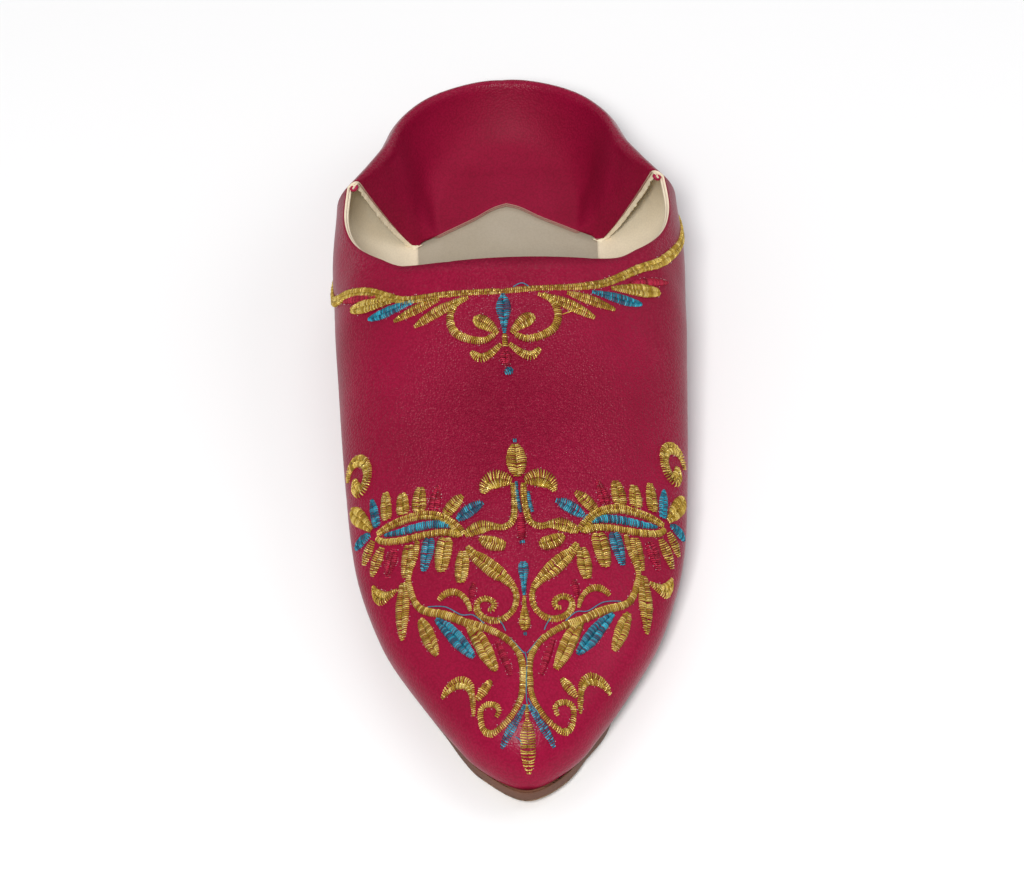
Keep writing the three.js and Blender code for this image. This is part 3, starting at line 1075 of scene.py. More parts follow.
HEART = (
    shape("flame", TEAL, MIDDLE, (0, 198.6, 1.1), (0, 200.8, 1.6), (0, 204, 0.9),
          (0, 208.6, 0.4)),
    shape("middle bud", GOLD, MIDDLE, (0, 208.8, 0.3), (0, 213, 0.8), (0, 216.8, 1.6),
          (0, 219.2, 0.9)),
    shape("middle dot", TEAL, MIDDLE, (-0.5, 220.1, 0.5), (0.5, 220.1, 0.5)),
    shape("swelling stem", GOLD, BOTH, (15.6, 193, 0.9), (14, 195.6, 1.4), (11.6, 197.7, 2.2),
          (8.1, 200.9, 2.4), (5.2, 203.4, 1.6), (2.9, 206.2, 0.9), (2.2, 209.4, 0.8),
          (3.2, 212.8, 0.8), (6, 215.3, 0.9), (9, 215.6, 0.9), (12, 214.1, 0.9),
          (13.4, 211.6, 0.9), (12.9, 209.6, 0.8), (10.9, 208.9, 0.8), (8.6, 210.2, 0.8),
          (8.9, 212.2, 0.7), (10.3, 212.2, 0.6)),
    shape("hook", GOLD, BOTH, (24.4, 207.5, 0.7), (22.5, 206, 1.0), (20.2, 205.7, 1.0),
          (17.8, 206.9, 0.8), (16, 209.4, 0.7), (15.2, 212.2, 0.4)),
    shape("red sliver", RED, BOTH, (14, 203.8, 0.5), (14.6, 206.2, 0.9), (15, 209, 0.5)),
    shape("long stem", GOLD, BOTH, (29.9, 189.1, 0.8), (30.8, 193.4, 0.8), (32.6, 197.4, 0.8),
          (33.2, 199.8, 0.8), (32.6, 202.8, 0.9), (31.7, 205.7, 0.9), (30, 208.4, 1.0),
          (27.2, 210.2, 1.1), (23.5, 211.6, 1.2), (19.9, 213.4, 1.2), (16.6, 215.3, 1.2),
          (12.6, 216.9, 1.1), (9.1, 218.7, 1.0), (5.9, 220.9, 0.9), (3.5, 223.2, 0.9),
          (1.8, 226.2, 0.9), (1.0, 229.8, 0.9), (1.0, 234.6, 0.9), (1.4, 238.4, 0.8),
          (2.7, 241.8, 0.8), (5.2, 245.2, 0.8), (7.6, 247, 0.8), (10.2, 247.9, 0.8),
          (12.6, 246.4, 0.8), (13.3, 243, 0.8), (12.8, 240.9, 0.8), (11, 240.2, 0.8),
          (8.8, 240.8, 0.8), (7.8, 242.4, 0.7), (8.7, 244.2, 0.7)),
    shape("barb", GOLD, BOTH, (36.6, 201.2, 0.5), (39.4, 201.8, 1.1), (42.2, 201.7, 1.9),
          (44.3, 199.6, 1.5), (45.2, 197, 0.4)),
    shape("first pendant", GOLD, BOTH, (34.7, 199.8, 1.2), (35.3, 206, 2.3), (35.8, 211, 2.0),
          (36.2, 215.4, 0.6)),
    shape("second pendant", GOLD, BOTH, (30, 211.4, 1.0), (28.3, 215.6, 2.1), (26.8, 219.4, 1.9),
          (25.3, 223, 0.8)),
    shape("teal pendant", TEAL, BOTH, (25.3, 212.6, 0.7), (21.6, 216.6, 1.9), (18, 221.4, 2.1),
          (14.5, 225.9, 0.7)),
    shape("third pendant", GOLD, BOTH, (16, 216.4, 0.9), (13.2, 220.4, 2.2), (10.8, 225.6, 2.2),
          (8.3, 230.8, 0.9)),
    shape("red pendant", RED, BOTH, (8, 221.6, 0.5), (6, 227, 1.0), (4.2, 232.6, 0.4)),
)

TOE = (
    shape("hook", GOLD, BOTH, (25.1, 234.6, 0.6), (22.5, 232.9, 1.3), (19, 232.2, 1.8),
          (16.4, 233.6, 1.4), (15.5, 236.4, 0.9), (15.3, 239.6, 0.7), (15.4, 242.4, 0.4)),
    shape("bract", GOLD, BOTH, (14.1, 238.4, 0.7), (12, 236, 1.5), (9.8, 233.4, 0.8)),
    shape("teal blade", TEAL, BOTH, (0.5, 241.6, 0.4), (2.5, 245, 0.8), (4.6, 247.8, 1.25),
          (6.2, 249.8, 1.0), (7.5, 251.6, 0.5)),
    shape("toe stalk", GOLD, MIDDLE, (0, 241.5, 0.4), (0, 245.6, 0.6)),
    shape("toe leaf", GOLD, MIDDLE, (0, 245.6, 0.7), (0, 248.4, 2.0), (0, 252, 2.3),
          (0, 254.6, 1.8), (0, 256.8, 0.7)),
)

SLACK = (
    Slack(TEAL, BOTH, ((27.6, 208.6), (22.3, 209.8), (17.8, 212.9), (14.5, 213.4), (11.4, 216.2))),
    Slack(TEAL, BOTH, ((7.8, 214.8), (6.2, 217.2), (5.4, 219))),
    Slack(TEAL, BOTH, ((4.4, 221), (1.6, 224.6), (0.4, 226))),
    Slack(TEAL, MIDDLE, ((-0.2, 225.6), (0.3, 229), (0, 234), (-0.1, 239.4), (0.2, 242))),
    Slack(TEAL, RIGHT, ((0.4, 239.6), (1.4, 242), (2.8, 243.6), (3.4, 245))),
    Slack(TEAL, LEFT, ((3.4, 249.6), (2.2, 250.4), (1.6, 251.6))),
    Slack(TEAL, RIGHT, ((3, 116.6), (5.6, 115.6), (8, 116.9))),
    Slack(TEAL, RIGHT, ((41, 181), (42.4, 180), (43, 179.4))),
    Slack(TEAL, RIGHT, ((17.6, 186.2), (18.6, 184.8), (19.4, 184.6))),
    Slack(GOLD, RIGHT, ((17, 124.4), (20, 123.2), (23.4, 121.6))),
)


@dataclass
class Embroidery:
    """Satin stitches over padding, laid on the leather's surface, sizes in millimetres."""

    surface: Surface
    pitch: float = 0.56
    thread: float = 0.205
    fullness: float = 0.9
    sides: int = 5
    veined_from: float = 1.25
    uneven: float = 0.05
    spread: float = 0.06
    lowest: float = 0.3
    highest: float = 0.8
    vein_lead: float = 0.12
    vein_gap: float = 0.06
    sunk: float = 0.12
    loose_thread: float = 0.15
    loose_rise: tuple[float, float] = (0.14, 0.3)
    dot_away: float = 0.42
    dot_size: tuple[float, float] = (0.09, 0.17)
    across: tuple[float, ...] = (-1.0, -0.88, -0.4, 0.4, 0.88, 1.0)
    axis: SmoothCurve = field(
        default_factory=lambda: SmoothCurve(
            (108, 137, 165, 200, 220, 257), (-2, -1.8, 0, 1, 0.8, 0.4)
        )
    )

    def __post_init__(self) -> None:
        """Sets the seed and makes one stitch that is repeated."""
        self.random = np.random.default_rng(7)
        self.stitch = self.tube(len(self.across))

    def tube(self, rings: int) -> bpy.types.Mesh:
        """Makes a straight closed thread along Z, with a ring at each whole number.

        Args:
            rings: how many rings it has.

        Returns:
            Its mesh.
        """
        bm = bmesh.new()
        bmesh.ops.create_circle(bm, cap_ends=True, segments=self.sides, radius=1)
        face = bm.faces[:]
        for _ in range(rings - 1):
            made = bmesh.ops.extrude_face_region(bm, geom=face)["geom"]
            face = [g for g in made if isinstance(g, bmesh.types.BMFace)]
            rise = [g for g in made if isinstance(g, bmesh.types.BMVert)]
            bmesh.ops.translate(bm, verts=rise, vec=(0, 0, 1))
        lowest = [v for v in bm.verts if v.co.z < 0.5]
        if not any(all(v.co.z < 0.5 for v in f.verts) for f in bm.faces):
            bmesh.ops.contextual_create(bm, geom=lowest)
        bmesh.ops.recalc_face_normals(bm, faces=bm.faces[:])
        return mesh_of(bm)

    def wrap(self, lines: Array, outs: Array, radius: Array, shape: bpy.types.Mesh) -> Array:
        """Bends copies of the thread along lines.

        Args:
            lines: the middle of each thread, as (thread, ring, 3) in metres.
            outs: the directions away from the leather there.
            radius: the threads' radii in metres, as (thread, ring).
            shape: the straight thread.

        Returns:
            The points of every copy, as (thread, point, 3).
        """
        flat = np.array([v.co for v in shape.vertices])
        ring = np.rint(flat[:, 2]).astype(int)
        along = np.gradient(lines, axis=1)
        along /= np.maximum(np.linalg.norm(along, axis=2, keepdims=True), 1e-9)
        beside = np.cross(outs, along)
        beside /= np.maximum(np.linalg.norm(beside, axis=2, keepdims=True), 1e-9)
        up = np.cross(along, beside)
        x, y = flat[:, 0][None, :, None], flat[:, 1][None, :, None]
        r = radius[:, ring][:, :, None]
        return lines[:, ring] + (beside[:, ring] * x + up[:, ring] * y) * r

    def lay(self, element: Element, side: int) -> tuple[Array, Array, Array]:
        """Spreads the stitches of one element over the flat pattern.

        A wide shape is worked in two rows that meet in a vein and slant towards its tip.

        Args:
            element: the element.
            side: 1 or -1.

        Returns:
            The two ends of each stitch as (stitch, 2) and the height of its padding.
        """
        line = spline(np.array(element.marks, float), 16)
        middle = Line(line[:, :2])
        count = max(2, round(middle.total / self.pitch))
        lengths = (np.arange(count) + 0.5) * middle.total / count
        half = np.maximum(0.3, self.fullness * np.interp(lengths, middle.lengths, line[:, 2]))
        centre = middle.at(lengths)
        forward = middle.at(lengths + 0.3) - middle.at(lengths - 0.3)
        forward /= np.linalg.norm(forward, axis=1, keepdims=True)
        square = np.stack([-forward[:, 1], forward[:, 0]], -1)
        widest = max(m.half_width for m in element.marks)
        for from_end in (lengths, middle.total - lengths):
            half *= 0.3 + 0.7 * round_end(from_end + 0.1, min(1.7, widest))
        half = np.maximum(0.25, half + self.random.normal(0, self.uneven, count))
        slant = forward * self.random.normal(0, self.uneven, (count, 1)) * half[:, None]
        reach = square * half[:, None]
        if widest < self.veined_from:
            ends = [centre - reach - slant, centre + reach + slant]
            high = np.minimum(self.highest, self.lowest + 0.42 * half)
        else:
            vein = centre + forward * (self.vein_lead * half[:, None]) + slant
            beside = square * self.vein_gap
            ends = [
                np.concatenate([centre - reach, vein + beside]),
                np.concatenate([vein - beside, centre + reach]),
            ]
            high = np.tile(np.minimum(self.highest, self.lowest + 0.24 * half), 2)
        for end in ends:
            end[:, 0] = end[:, 0] * side + self.axis(end[:, 1])
        return ends[0], ends[1], high

    def stitches(self, elements: Sequence[Element], thread: Thread) -> bpy.types.Mesh:
        """Works every element of one thread.

        Args:
            elements: the elements of this part of the pattern.
            thread: the thread to pick out.

        Returns:
            The stitches as one mesh, with a tone and a length for each.
        """
        laid = [
            self.lay(e, side) for e in elements if e.thread is thread for side in e.side.signs
        ]
        start, end, high = (np.concatenate(part) for part in zip(*laid))
        s = np.array(self.across)
        flat = start[:, None] + (end - start)[:, None] * ((s + 1) / 2)[None, :, None]
        points, outs = self.surface.at(flat[..., 0].ravel(), flat[..., 1].ravel())
        count = len(start)
        points, outs = points.reshape(count, -1, 3), outs.reshape(count, -1, 3)
        arch = (1 - np.abs(s) ** 3.2) ** 0.45
        high = high * self.random.normal(1, self.spread, count)
        height = (-self.sunk + (high[:, None] + self.sunk) * arch[None, :]) * MM
        lines = points + outs * height[..., None]
        size = self.random.normal(1, self.spread, count)
        radius = self.thread * size[:, None] * np.ones(len(s)) * MM
        places = self.wrap(lines, outs, radius, self.stitch)
        tone = self.random.random(count)[:, None] * np.ones(places.shape[1])
        ring = np.rint([v.co.z for v in self.stitch.vertices]).astype(int)
        along = np.linalg.norm(end - start, axis=1)[:, None] * ((s[ring] + 1) / 2)[None, :]
        return joined_copies(self.stitch, places, {"tone": tone, "along": along})

    def loose(self, runs: Sequence[Slack], thread: Thread) -> bpy.types.Mesh:
        """Lays the threads that are carried loosely over the leather.

        Args:
            runs: the loose threads.
            thread: the thread to pick out.

        Returns:
            The loose threads as one mesh.
        """
        steps = 24
        shape_of = self.tube(steps)
        lines, normals = [], []
        for run in runs:
            if run.thread is not thread:
                continue
            for side in run.side.signs:
                line = Line(spline(np.array(run.places, float), 10))
                flat = line.at(np.linspace(0, line.total, steps))
                girth = flat[:, 0] * side + self.axis(flat[:, 1])
                points, outs = self.surface.at(girth, flat[:, 1])
                low, more = self.loose_rise
                up = low + more * np.sin(np.linspace(0, math.pi, steps))
                lines.append(points + outs * up[:, None] * MM)
                normals.append(outs)
        lines, normals = np.array(lines), np.array(normals)
        radius = np.full(lines.shape[:2], self.loose_thread * MM)
        places = self.wrap(lines, normals, radius, shape_of)
        tone = np.full(places.shape[:2], 0.4)
        return joined_copies(shape_of, places, {"tone": tone, "along": tone})

    def holes(self, elements: Sequence[Element], share: float) -> bpy.types.Mesh:
        """Dots the ends of stitches where the pale padding shows beside them.

        Args:
            elements: the elements to dot.
            share: how many of the stitch ends show a dot.

        Returns:
            The dots as one mesh.
        """
        bm = bmesh.new()
        bmesh.ops.create_icosphere(bm, subdivisions=1, radius=1)
        dot = mesh_of(bm)
        spots = []
        for e in elements:
            for side in e.side.signs:
                start, end, _ = self.lay(e, side)
                away = (end - start) / np.linalg.norm(end - start, axis=1, keepdims=True)
                away *= self.dot_away
                spots += [start - away, end + away]
        flat = np.concatenate(spots)
        flat = flat[self.random.random(len(flat)) < share]
        points, outs = self.surface.at(flat[:, 0], flat[:, 1])
        size = self.random.uniform(*self.dot_size, (len(flat), 1, 1)) * MM
        ball = np.array([v.co for v in dot.vertices])
        places = (points + outs * 0.03 * MM)[:, None] + ball[None] * size
        tone = self.random.random(len(flat))[:, None] * np.ones(places.shape[1])
        return joined_copies(dot, places, {"tone": tone})


# ---- Finishes --------------------------------------------------------------------------------


class Nodes:
    """A short way to lay nodes in a material's tree or a group's."""

    def __init__(self, tree: Any) -> None:
        """Keeps the tree."""
        self.tree = tree

    def add(self, kind: str, settings: dict[str, Any] | None = None, **inputs: Any) -> Any:
        """Adds a node.

        Args:
            kind: the node's type, without its leading words.
            settings: its own options, by name.
            inputs: its inputs, spaces written as underscores; a socket is linked.

        Returns:
            The node.
        """
        node = self.tree.nodes.new("ShaderNode" + kind)
        for key, value in (settings or {}).items():
            setattr(node, key, value)
        for key, value in inputs.items():
            slot = int(key[1:]) if key[0] == "i" and key[1:].isdigit() else key.replace("_", " ")
            if isinstance(value, bpy.types.NodeSocket):
                self.tree.links.new(value, node.inputs[slot])
            else:
                node.inputs[slot].default_value = value
        return node

    def place(self) -> Any:
        """Returns where a point lies on its object."""
        return self.add("TexCoord").outputs["Object"]

    def layer(self, name: str) -> Any:
        """Returns the values of one of the piece's own attributes."""
        return self.add("Attribute", {"attribute_name": name}).outputs["Fac"]

    def leave(self, **sockets: Any) -> None:
        """Links sockets to the outputs of a group, by their names."""
        for name, socket in sockets.items():
            self.tree.links.new(socket, self.tree.nodes["out"].inputs[name])

    def mix(self, share: Any, first: Any, second: Any) -> Any:
        """Returns the mixture of two colours."""
        return self.add("Mix", {"data_type": "RGBA"}, i0=share, i6=first, i7=second).outputs[2]

    def math(self, operation: str, first: Any, second: Any = 0.0) -> Any:
        """Returns the outcome of a sum on two numbers."""
        return self.add("Math", {"operation": operation}, i0=first, i1=second).outputs[0]

    def spread(self, value: Any, low: float, high: float, to_low: float, to_high: float) -> Any:
        """Stretches a number from one range to another.

        Args:
            value: the number.
            low: the first range's start.
            high: its end.
            to_low: what the start becomes.
            to_high: what the end becomes.

        Returns:
            The stretched number.
        """
        ranges = {"From_Min": low, "From_Max": high, "To_Min": to_low, "To_Max": to_high}
        return self.add("MapRange", None, Value=value, **ranges).outputs[0]


def new_group(name: str, ins: Sequence[tuple[str, str]], outs: Sequence[tuple[str, str]]) -> Nodes:
    """Starts a node group.

    Args:
        name: its name.
        ins: name and type of each input.
        outs: name and type of each output.

    Returns:
        Its nodes, the input node being named "in" and the output node "out".
    """
    tree = bpy.data.node_groups.new(name, "ShaderNodeTree")
    for direction, sockets in (("INPUT", ins), ("OUTPUT", outs)):
        for label, kind in sockets:
            tree.interface.new_socket(label, in_out=direction, socket_type="NodeSocket" + kind)
    tree.nodes.new("NodeGroupInput").name = "in"
    tree.nodes.new("NodeGroupOutput").name = "out"
    return Nodes(tree)


class Effects:
    """The effects that several finishes share, each built once as a node group."""

    def __init__(self) -> None:
        """Builds the groups."""
        self.grain = self.build_grain()
        self.mottle = self.build_mottle()

    @staticmethod
    def build_grain() -> bpy.types.NodeTree:
        """Builds leather grain: small pebbles, the valleys between them and finer hair pores.

        Returns:
            The group.
        """
        nodes = new_group(
            "leather grain", [("Cell", "Float"), ("Stretch", "Float")],
            [("Height", "Float"), ("Valley", "Float")],
        )
        come = nodes.tree.nodes["in"]
        place = nodes.place()
        scale = nodes.add("CombineXYZ", None, X=1.0, Y=come.outputs["Stretch"], Z=1.0).outputs[0]
        place = nodes.add("VectorMath", {"operation": "MULTIPLY"}, i0=place, i1=scale).outputs[0]
        warp = nodes.add("TexNoise", None, Vector=place, Scale=420.0, Detail=1.0)
        bend = nodes.add(
            "VectorMath", {"operation": "SCALE"}, i0=warp.outputs["Color"], Scale=0.0009
        )
        bent = nodes.add("VectorMath", {"operation": "ADD"}, i0=place, i1=bend.outputs[0])
        cells = nodes.add(
            "TexVoronoi", {"feature": "F1"}, Vector=bent.outputs[0], Scale=come.outputs["Cell"]
        )
        pebble = nodes.spread(cells.outputs["Distance"], 0.0, 0.75, 1.0, 0.0)
        fine = nodes.add("TexNoise", None, Vector=place, Scale=2600.0, Detail=2.0)
        both = nodes.add(
            "Math", {"operation": "MULTIPLY_ADD"}, i0=fine.outputs["Fac"], i1=0.3, i2=pebble
        )
        valley = nodes.spread(cells.outputs["Distance"], 0.35, 0.75, 0.0, 1.0)
        nodes.leave(Height=both.outputs[0], Valley=valley)
        return nodes.tree

    @staticmethod
    def build_mottle() -> bpy.types.NodeTree:
        """Builds uneven dye and handling: broad clouds, and small specks.

        Returns:
            The group.
        """
        nodes = new_group(
            "mottle", [("Size", "Float")], [("Cloud", "Float"), ("Speck", "Float")]
        )
        come = nodes.tree.nodes["in"]
        place = nodes.place()
        cloud = nodes.add(
            "TexNoise", None, Vector=place, Scale=come.outputs["Size"], Detail=4.0, Roughness=0.6
        )
        speck = nodes.add("TexNoise", None, Vector=place, Scale=850.0, Detail=3.0, Roughness=0.7)
        nodes.leave(
            Cloud=nodes.spread(cloud.outputs["Fac"], 0.32, 0.68, 0.0, 1.0),
            Speck=nodes.spread(speck.outputs["Fac"], 0.55, 0.75, 0.0, 1.0),
        )
        return nodes.tree


def start_material(name: str) -> tuple[Nodes, Any]:
    """Makes an empty finish.

    Args:
        name: the material's name.

    Returns:
        Its nodes and its shader.
    """
    material = bpy.data.materials.new(name)
    material.use_nodes = True
    material.node_tree.nodes.clear()
    nodes = Nodes(material.node_tree)
    shader = nodes.add("BsdfPrincipled")
    out = nodes.add("OutputMaterial")
    material.node_tree.links.new(shader.outputs[0], out.inputs[0])
    return nodes, shader


def feed(nodes: Nodes, shader: Any, **sockets: Any) -> None:
    """Links or sets a shader's inputs.

    Args:
        nodes: the nodes it stands among.
        shader: the shader.
        sockets: its inputs, spaces written as underscores.
    """
    for key, value in sockets.items():
        slot = shader.inputs[key.replace("_", " ")]
        if isinstance(value, bpy.types.NodeSocket):
            nodes.tree.links.new(value, slot)
        else:
            slot.default_value = value


def rgba(color: Color) -> tuple[float, float, float, float]:
    """Returns a colour with full cover."""
    return (*color, 1.0)


def darkened(color: Color) -> tuple[float, float, float, float]:
    """Returns a colour darkened to 0.55: painted shade in the grain's valleys, and darker tarnish on
    thread.
    """
    return rgba(tuple(c * 0.55 for c in color))


@dataclass(frozen=True)
class Leather:
    """Dyed or undyed leather with grain, uneven colour, worn specks along the fold and a painted
    highlight on the grain's tops.

    The hem is the paler line low on the wall, told as shares of the height given in "rise".
    """

    name: str
    deep: Color
    bright: Color
    wear_and_highlight: Color
    cell: float = 1500.0
    stretch: float = 1.0
    bump: float = 0.35
    depth: float = 0.0006
    roughness: float = 0.48
    gloss: float = 0.3
    cloud: float = 30.0
    valley: float = 0.25
    rub: float = 0.0
    peaks: float = 0.0
    hem: float = 0.0
    hem_color: Color = (0.5, 0.3, 0.22)
    hem_band: tuple[float, float] = (0.006, 0.02)
    flap_matt: float = 0.24
    fold_shine: float = 0.05
    flat_bump: float = 0.12

    def make(self, effects: Effects) -> bpy.types.Material:
        """Builds the finish.

        Args:
            effects: the shared groups.

        Returns:
            The material.
        """
        nodes, shader = start_material(self.name)
        grain = nodes.add(
            "Group", {"node_tree": effects.grain}, Cell=self.cell, Stretch=self.stretch
        )
        mottle = nodes.add("Group", {"node_tree": effects.mottle}, Size=self.cloud)
        color = nodes.mix(mottle.outputs["Cloud"], rgba(self.deep), rgba(self.bright))
        # Painted shade: the valleys between the pebbles are darkened.
        pits = nodes.math("MULTIPLY", grain.outputs["Valley"], self.valley)
        color = nodes.mix(pits, color, darkened(self.deep))
        pulled, fold, flap = (nodes.layer(name) for name in ("pulled", "fold", "flap"))
        # Painted highlight: where the leather is pulled, the grain's tops take the lighter colour.
        peaks = nodes.spread(grain.outputs["Height"], 0.95, 1.2, 0.0, self.peaks)
        color = nodes.mix(nodes.math("MULTIPLY", peaks, pulled), color, rgba(self.wear_and_highlight))
        # Worn specks along the fold take the same lighter colour.
        speck = nodes.math("MULTIPLY", fold, mottle.outputs["Speck"])
        wear_and_highlight = nodes.math("MULTIPLY", speck, self.rub)
        color = nodes.mix(wear_and_highlight, color, rgba(self.wear_and_highlight))
        if self.hem > 0:
            low = nodes.spread(nodes.layer("rise"), *self.hem_band, self.hem, 0.0)
            color = nodes.mix(low, color, rgba(self.hem_color))
        matt, shiny = self.roughness + 0.05, self.roughness - 0.04
        rough = nodes.spread(mottle.outputs["Cloud"], 0, 1, matt, shiny)
        rough = nodes.math("SUBTRACT", rough, nodes.math("MULTIPLY", fold, self.fold_shine))
        rough = nodes.math("ADD", rough, nodes.math("MULTIPLY", flap, self.flap_matt))
        strength = nodes.spread(pulled, 0, 1, self.bump * self.flat_bump, self.bump)
        height = nodes.math("MULTIPLY", grain.outputs["Height"], strength)
        bump = nodes.add("Bump", None, Height=height, Distance=self.depth)
        feed(nodes, shader, Base_Color=color, Roughness=rough, Normal=bump.outputs[0])
        feed(nodes, shader, Specular_IOR_Level=self.gloss)
        return bpy.data.materials[self.name]


@dataclass(frozen=True)
class CutEdge:
    """The raw edge of leather: fibres in thin layers."""

    name: str
    pale: Color
    stained: Color
    dyed: Color

    def make(self, effects: Effects) -> bpy.types.Material:
        """Builds the finish.

        Args:
            effects: the shared groups.

        Returns:
            The material.
        """
        nodes, shader = start_material(self.name)
        thin = nodes.add("Mapping", None, Vector=nodes.place(), Scale=(1, 1, 6))
        fibre = nodes.add("TexNoise", None, Vector=thin.outputs[0], Scale=900.0, Detail=4.0)
        mottle = nodes.add("Group", {"node_tree": effects.mottle}, Size=90.0)
        color = nodes.mix(fibre.outputs["Fac"], rgba(self.pale), rgba(self.stained))
        stain = nodes.math("MULTIPLY", mottle.outputs["Cloud"], 0.6)
        color = nodes.mix(stain, color, rgba(self.stained))
        dye = nodes.math("MULTIPLY", nodes.layer("flap"), 0.75)
        color = nodes.mix(dye, color, rgba(self.dyed))
        bump = nodes.add(
            "Bump", None, Height=fibre.outputs["Fac"], Distance=0.0003, Strength=0.5
        )
        feed(nodes, shader, Base_Color=color, Roughness=0.75, Normal=bump.outputs[0])
        return bpy.data.materials[self.name]


@dataclass(frozen=True)
class Floss:
    """Twisted thread, metal-wrapped or silk, its tone changing from stitch to stitch, with highlights
    painted on the crests of its twist.
    """

    name: str
    dark: Color
    light: Color
    metallic: float
    roughness: float
    painted_glint: Color
    tarnished: float = 0.3

    def make(self, effects: Effects) -> bpy.types.Material:
        """Builds the finish.

        Args:
            effects: the shared groups.

        Returns:
            The material.
        """
        nodes, shader = start_material(self.name)
        tone, along = nodes.layer("tone"), nodes.layer("along")
        mottle = nodes.add("Group", {"node_tree": effects.mottle}, Size=120.0)
        color = nodes.mix(tone, rgba(self.dark), rgba(self.light))
        tarnish = nodes.math("MULTIPLY", mottle.outputs["Cloud"], self.tarnished)
        color = nodes.mix(tarnish, color, darkened(self.dark))
        turn = nodes.math("MULTIPLY", along, 16.0)
        shift = nodes.add("CombineXYZ", None, X=turn, Y=tone, Z=0.0).outputs[0]
        scaled = nodes.add("VectorMath", {"operation": "SCALE"}, i0=nodes.place(), Scale=300.0)
        at = nodes.add("VectorMath", {"operation": "ADD"}, i0=scaled.outputs[0], i1=shift)
        twist = nodes.add("TexWave", None, Vector=at.outputs[0], Scale=1.0, Distortion=1.5)
        bump = nodes.add(
            "Bump", None, Height=twist.outputs["Fac"], Distance=0.00012, Strength=0.6
        )
        # Painted highlight: on brighter stitches the crests of the twist take a paler colour.
        glint = nodes.spread(twist.outputs["Fac"], 0.62, 0.95, 0, 1)
        lit = nodes.math("MULTIPLY", glint, nodes.spread(tone, 0.35, 0.95, 0, 1))
        color = nodes.mix(lit, color, rgba(self.painted_glint))
        rough = nodes.spread(tone, 0, 1, self.roughness + 0.08, self.roughness - 0.06)
        feed(nodes, shader, Base_Color=color, Roughness=rough, Normal=bump.outputs[0])
        feed(nodes, shader, Metallic=self.metallic)
        return bpy.data.materials[self.name]


def plain(name: str, color: Color, roughness: float) -> bpy.types.Material:
    """Makes a slightly uneven matt finish for the floor.

    Args:
        name: the material's name.
        color: its colour.
        roughness: how matt it is.

    Returns:
        The material.
    """
    nodes, shader = start_material(name)
    cloud = nodes.add("TexNoise", None, Vector=nodes.place(), Scale=3.0, Detail=2.0).outputs["Fac"]
    paler = tuple(min(1.0, c * 1.01) for c in color)
    feed(nodes, shader, Base_Color=nodes.mix(cloud, rgba(color), rgba(paler)), Roughness=roughness)
    return bpy.data.materials[name]


# ---- Studio ----------------------------------------------------------------------------------


class Lamp(NamedTuple):
    """A square soft light: where it hangs, its side, its power in watts and its colour."""

    name: str
    place: tuple[float, float, float]
    size: float
    power: float
    tint: Color


@dataclass
class Studio:
    """A pale floor, soft lights and the camera."""

    elevation: float = 51.6
    roll: float = 2.1
    distance: float = 1.29
    lens: float = 156.4
    aim: tuple[float, float, float] = (-0.0009, -0.0196, 0.025)
    lit: tuple[float, float, float] = (0, 0, 0.03)
    floor_low: float = -0.0004
    surround: float = 0.39
    lamps: tuple[Lamp, ...] = (
        Lamp("front", (-0.16, -0.95, 1.3), 0.32, 20.5, (1.0, 0.985, 0.965)),
        Lamp("left", (-1.3, 0.1, 1.0), 1.0, 1.3, (1.0, 0.99, 0.98)),
        Lamp("right", (1.3, 0.2, 1.1), 1.0, 4.6, (0.97, 0.985, 1.0)),
        Lamp("behind", (0.1, 1.0, 1.4), 0.9, 4.6, (1.0, 1.0, 1.0)),
    )

    def floor(self) -> None:
        """Lays the floor under the slipper."""
        bm = bmesh.new()
        bmesh.ops.create_grid(bm, x_segments=8, y_segments=8, size=3.0)
        bmesh.ops.translate(bm, verts=bm.verts[:], vec=(0, 0, self.floor_low))
        obj = add_object("floor", mesh_of(bm), [plain("pale floor", (0.86, 0.86, 0.865), 0.85)])

    def light(self, lamp: Lamp) -> None:
        """Hangs a light that faces the slipper.

        Args:
            lamp: the light.
        """
        data = bpy.data.lights.new(lamp.name, "AREA")
        data.shape = "SQUARE"
        data.size = lamp.size
        data.energy = lamp.power
        data.color = lamp.tint
        obj = bpy.data.objects.new(lamp.name, data)
        obj.location = lamp.place
        facing = Vector(self.lit) - Vector(lamp.place)
        obj.rotation_euler = facing.to_track_quat("-Z", "Y").to_euler()
        bpy.context.scene.collection.objects.link(obj)

    def lights(self) -> None:
        """Hangs the lights and sets the surrounding light."""
        for lamp in self.lamps:
            self.light(lamp)
        world = bpy.data.worlds.new("surround")
        world.use_nodes = True
        back = world.node_tree.nodes["Background"]
        back.inputs["Color"].default_value = (0.97, 0.98, 1.0, 1.0)
        back.inputs["Strength"].default_value = self.surround
        bpy.context.scene.world = world

    def camera(self) -> None:
        """Sets the camera above the toe, looking down along the slipper."""
        data = bpy.data.cameras.new("camera")
        data.lens = self.lens
        data.sensor_width = 36.0
        cam = bpy.data.objects.new("camera", data)
        tilt = math.radians(self.elevation)
        back = Vector((0, -math.cos(tilt), math.sin(tilt)))
        cam.location = Vector(self.aim) + back * self.distance
        turn = (-back).to_track_quat("-Z", "Y").to_matrix()
        turn = turn @ Matrix.Rotation(math.radians(-self.roll), 3, "Z")
        cam.rotation_euler = turn.to_euler()
        bpy.context.scene.collection.objects.link(cam)
        bpy.context.scene.camera = cam

    def build(self) -> None:
        """Sets everything up."""
        self.camera()
        self.floor()
        self.lights()
        bpy.context.scene.view_settings.view_transform = "Standard"


# ---- The slipper -----------------------------------------------------------------------------


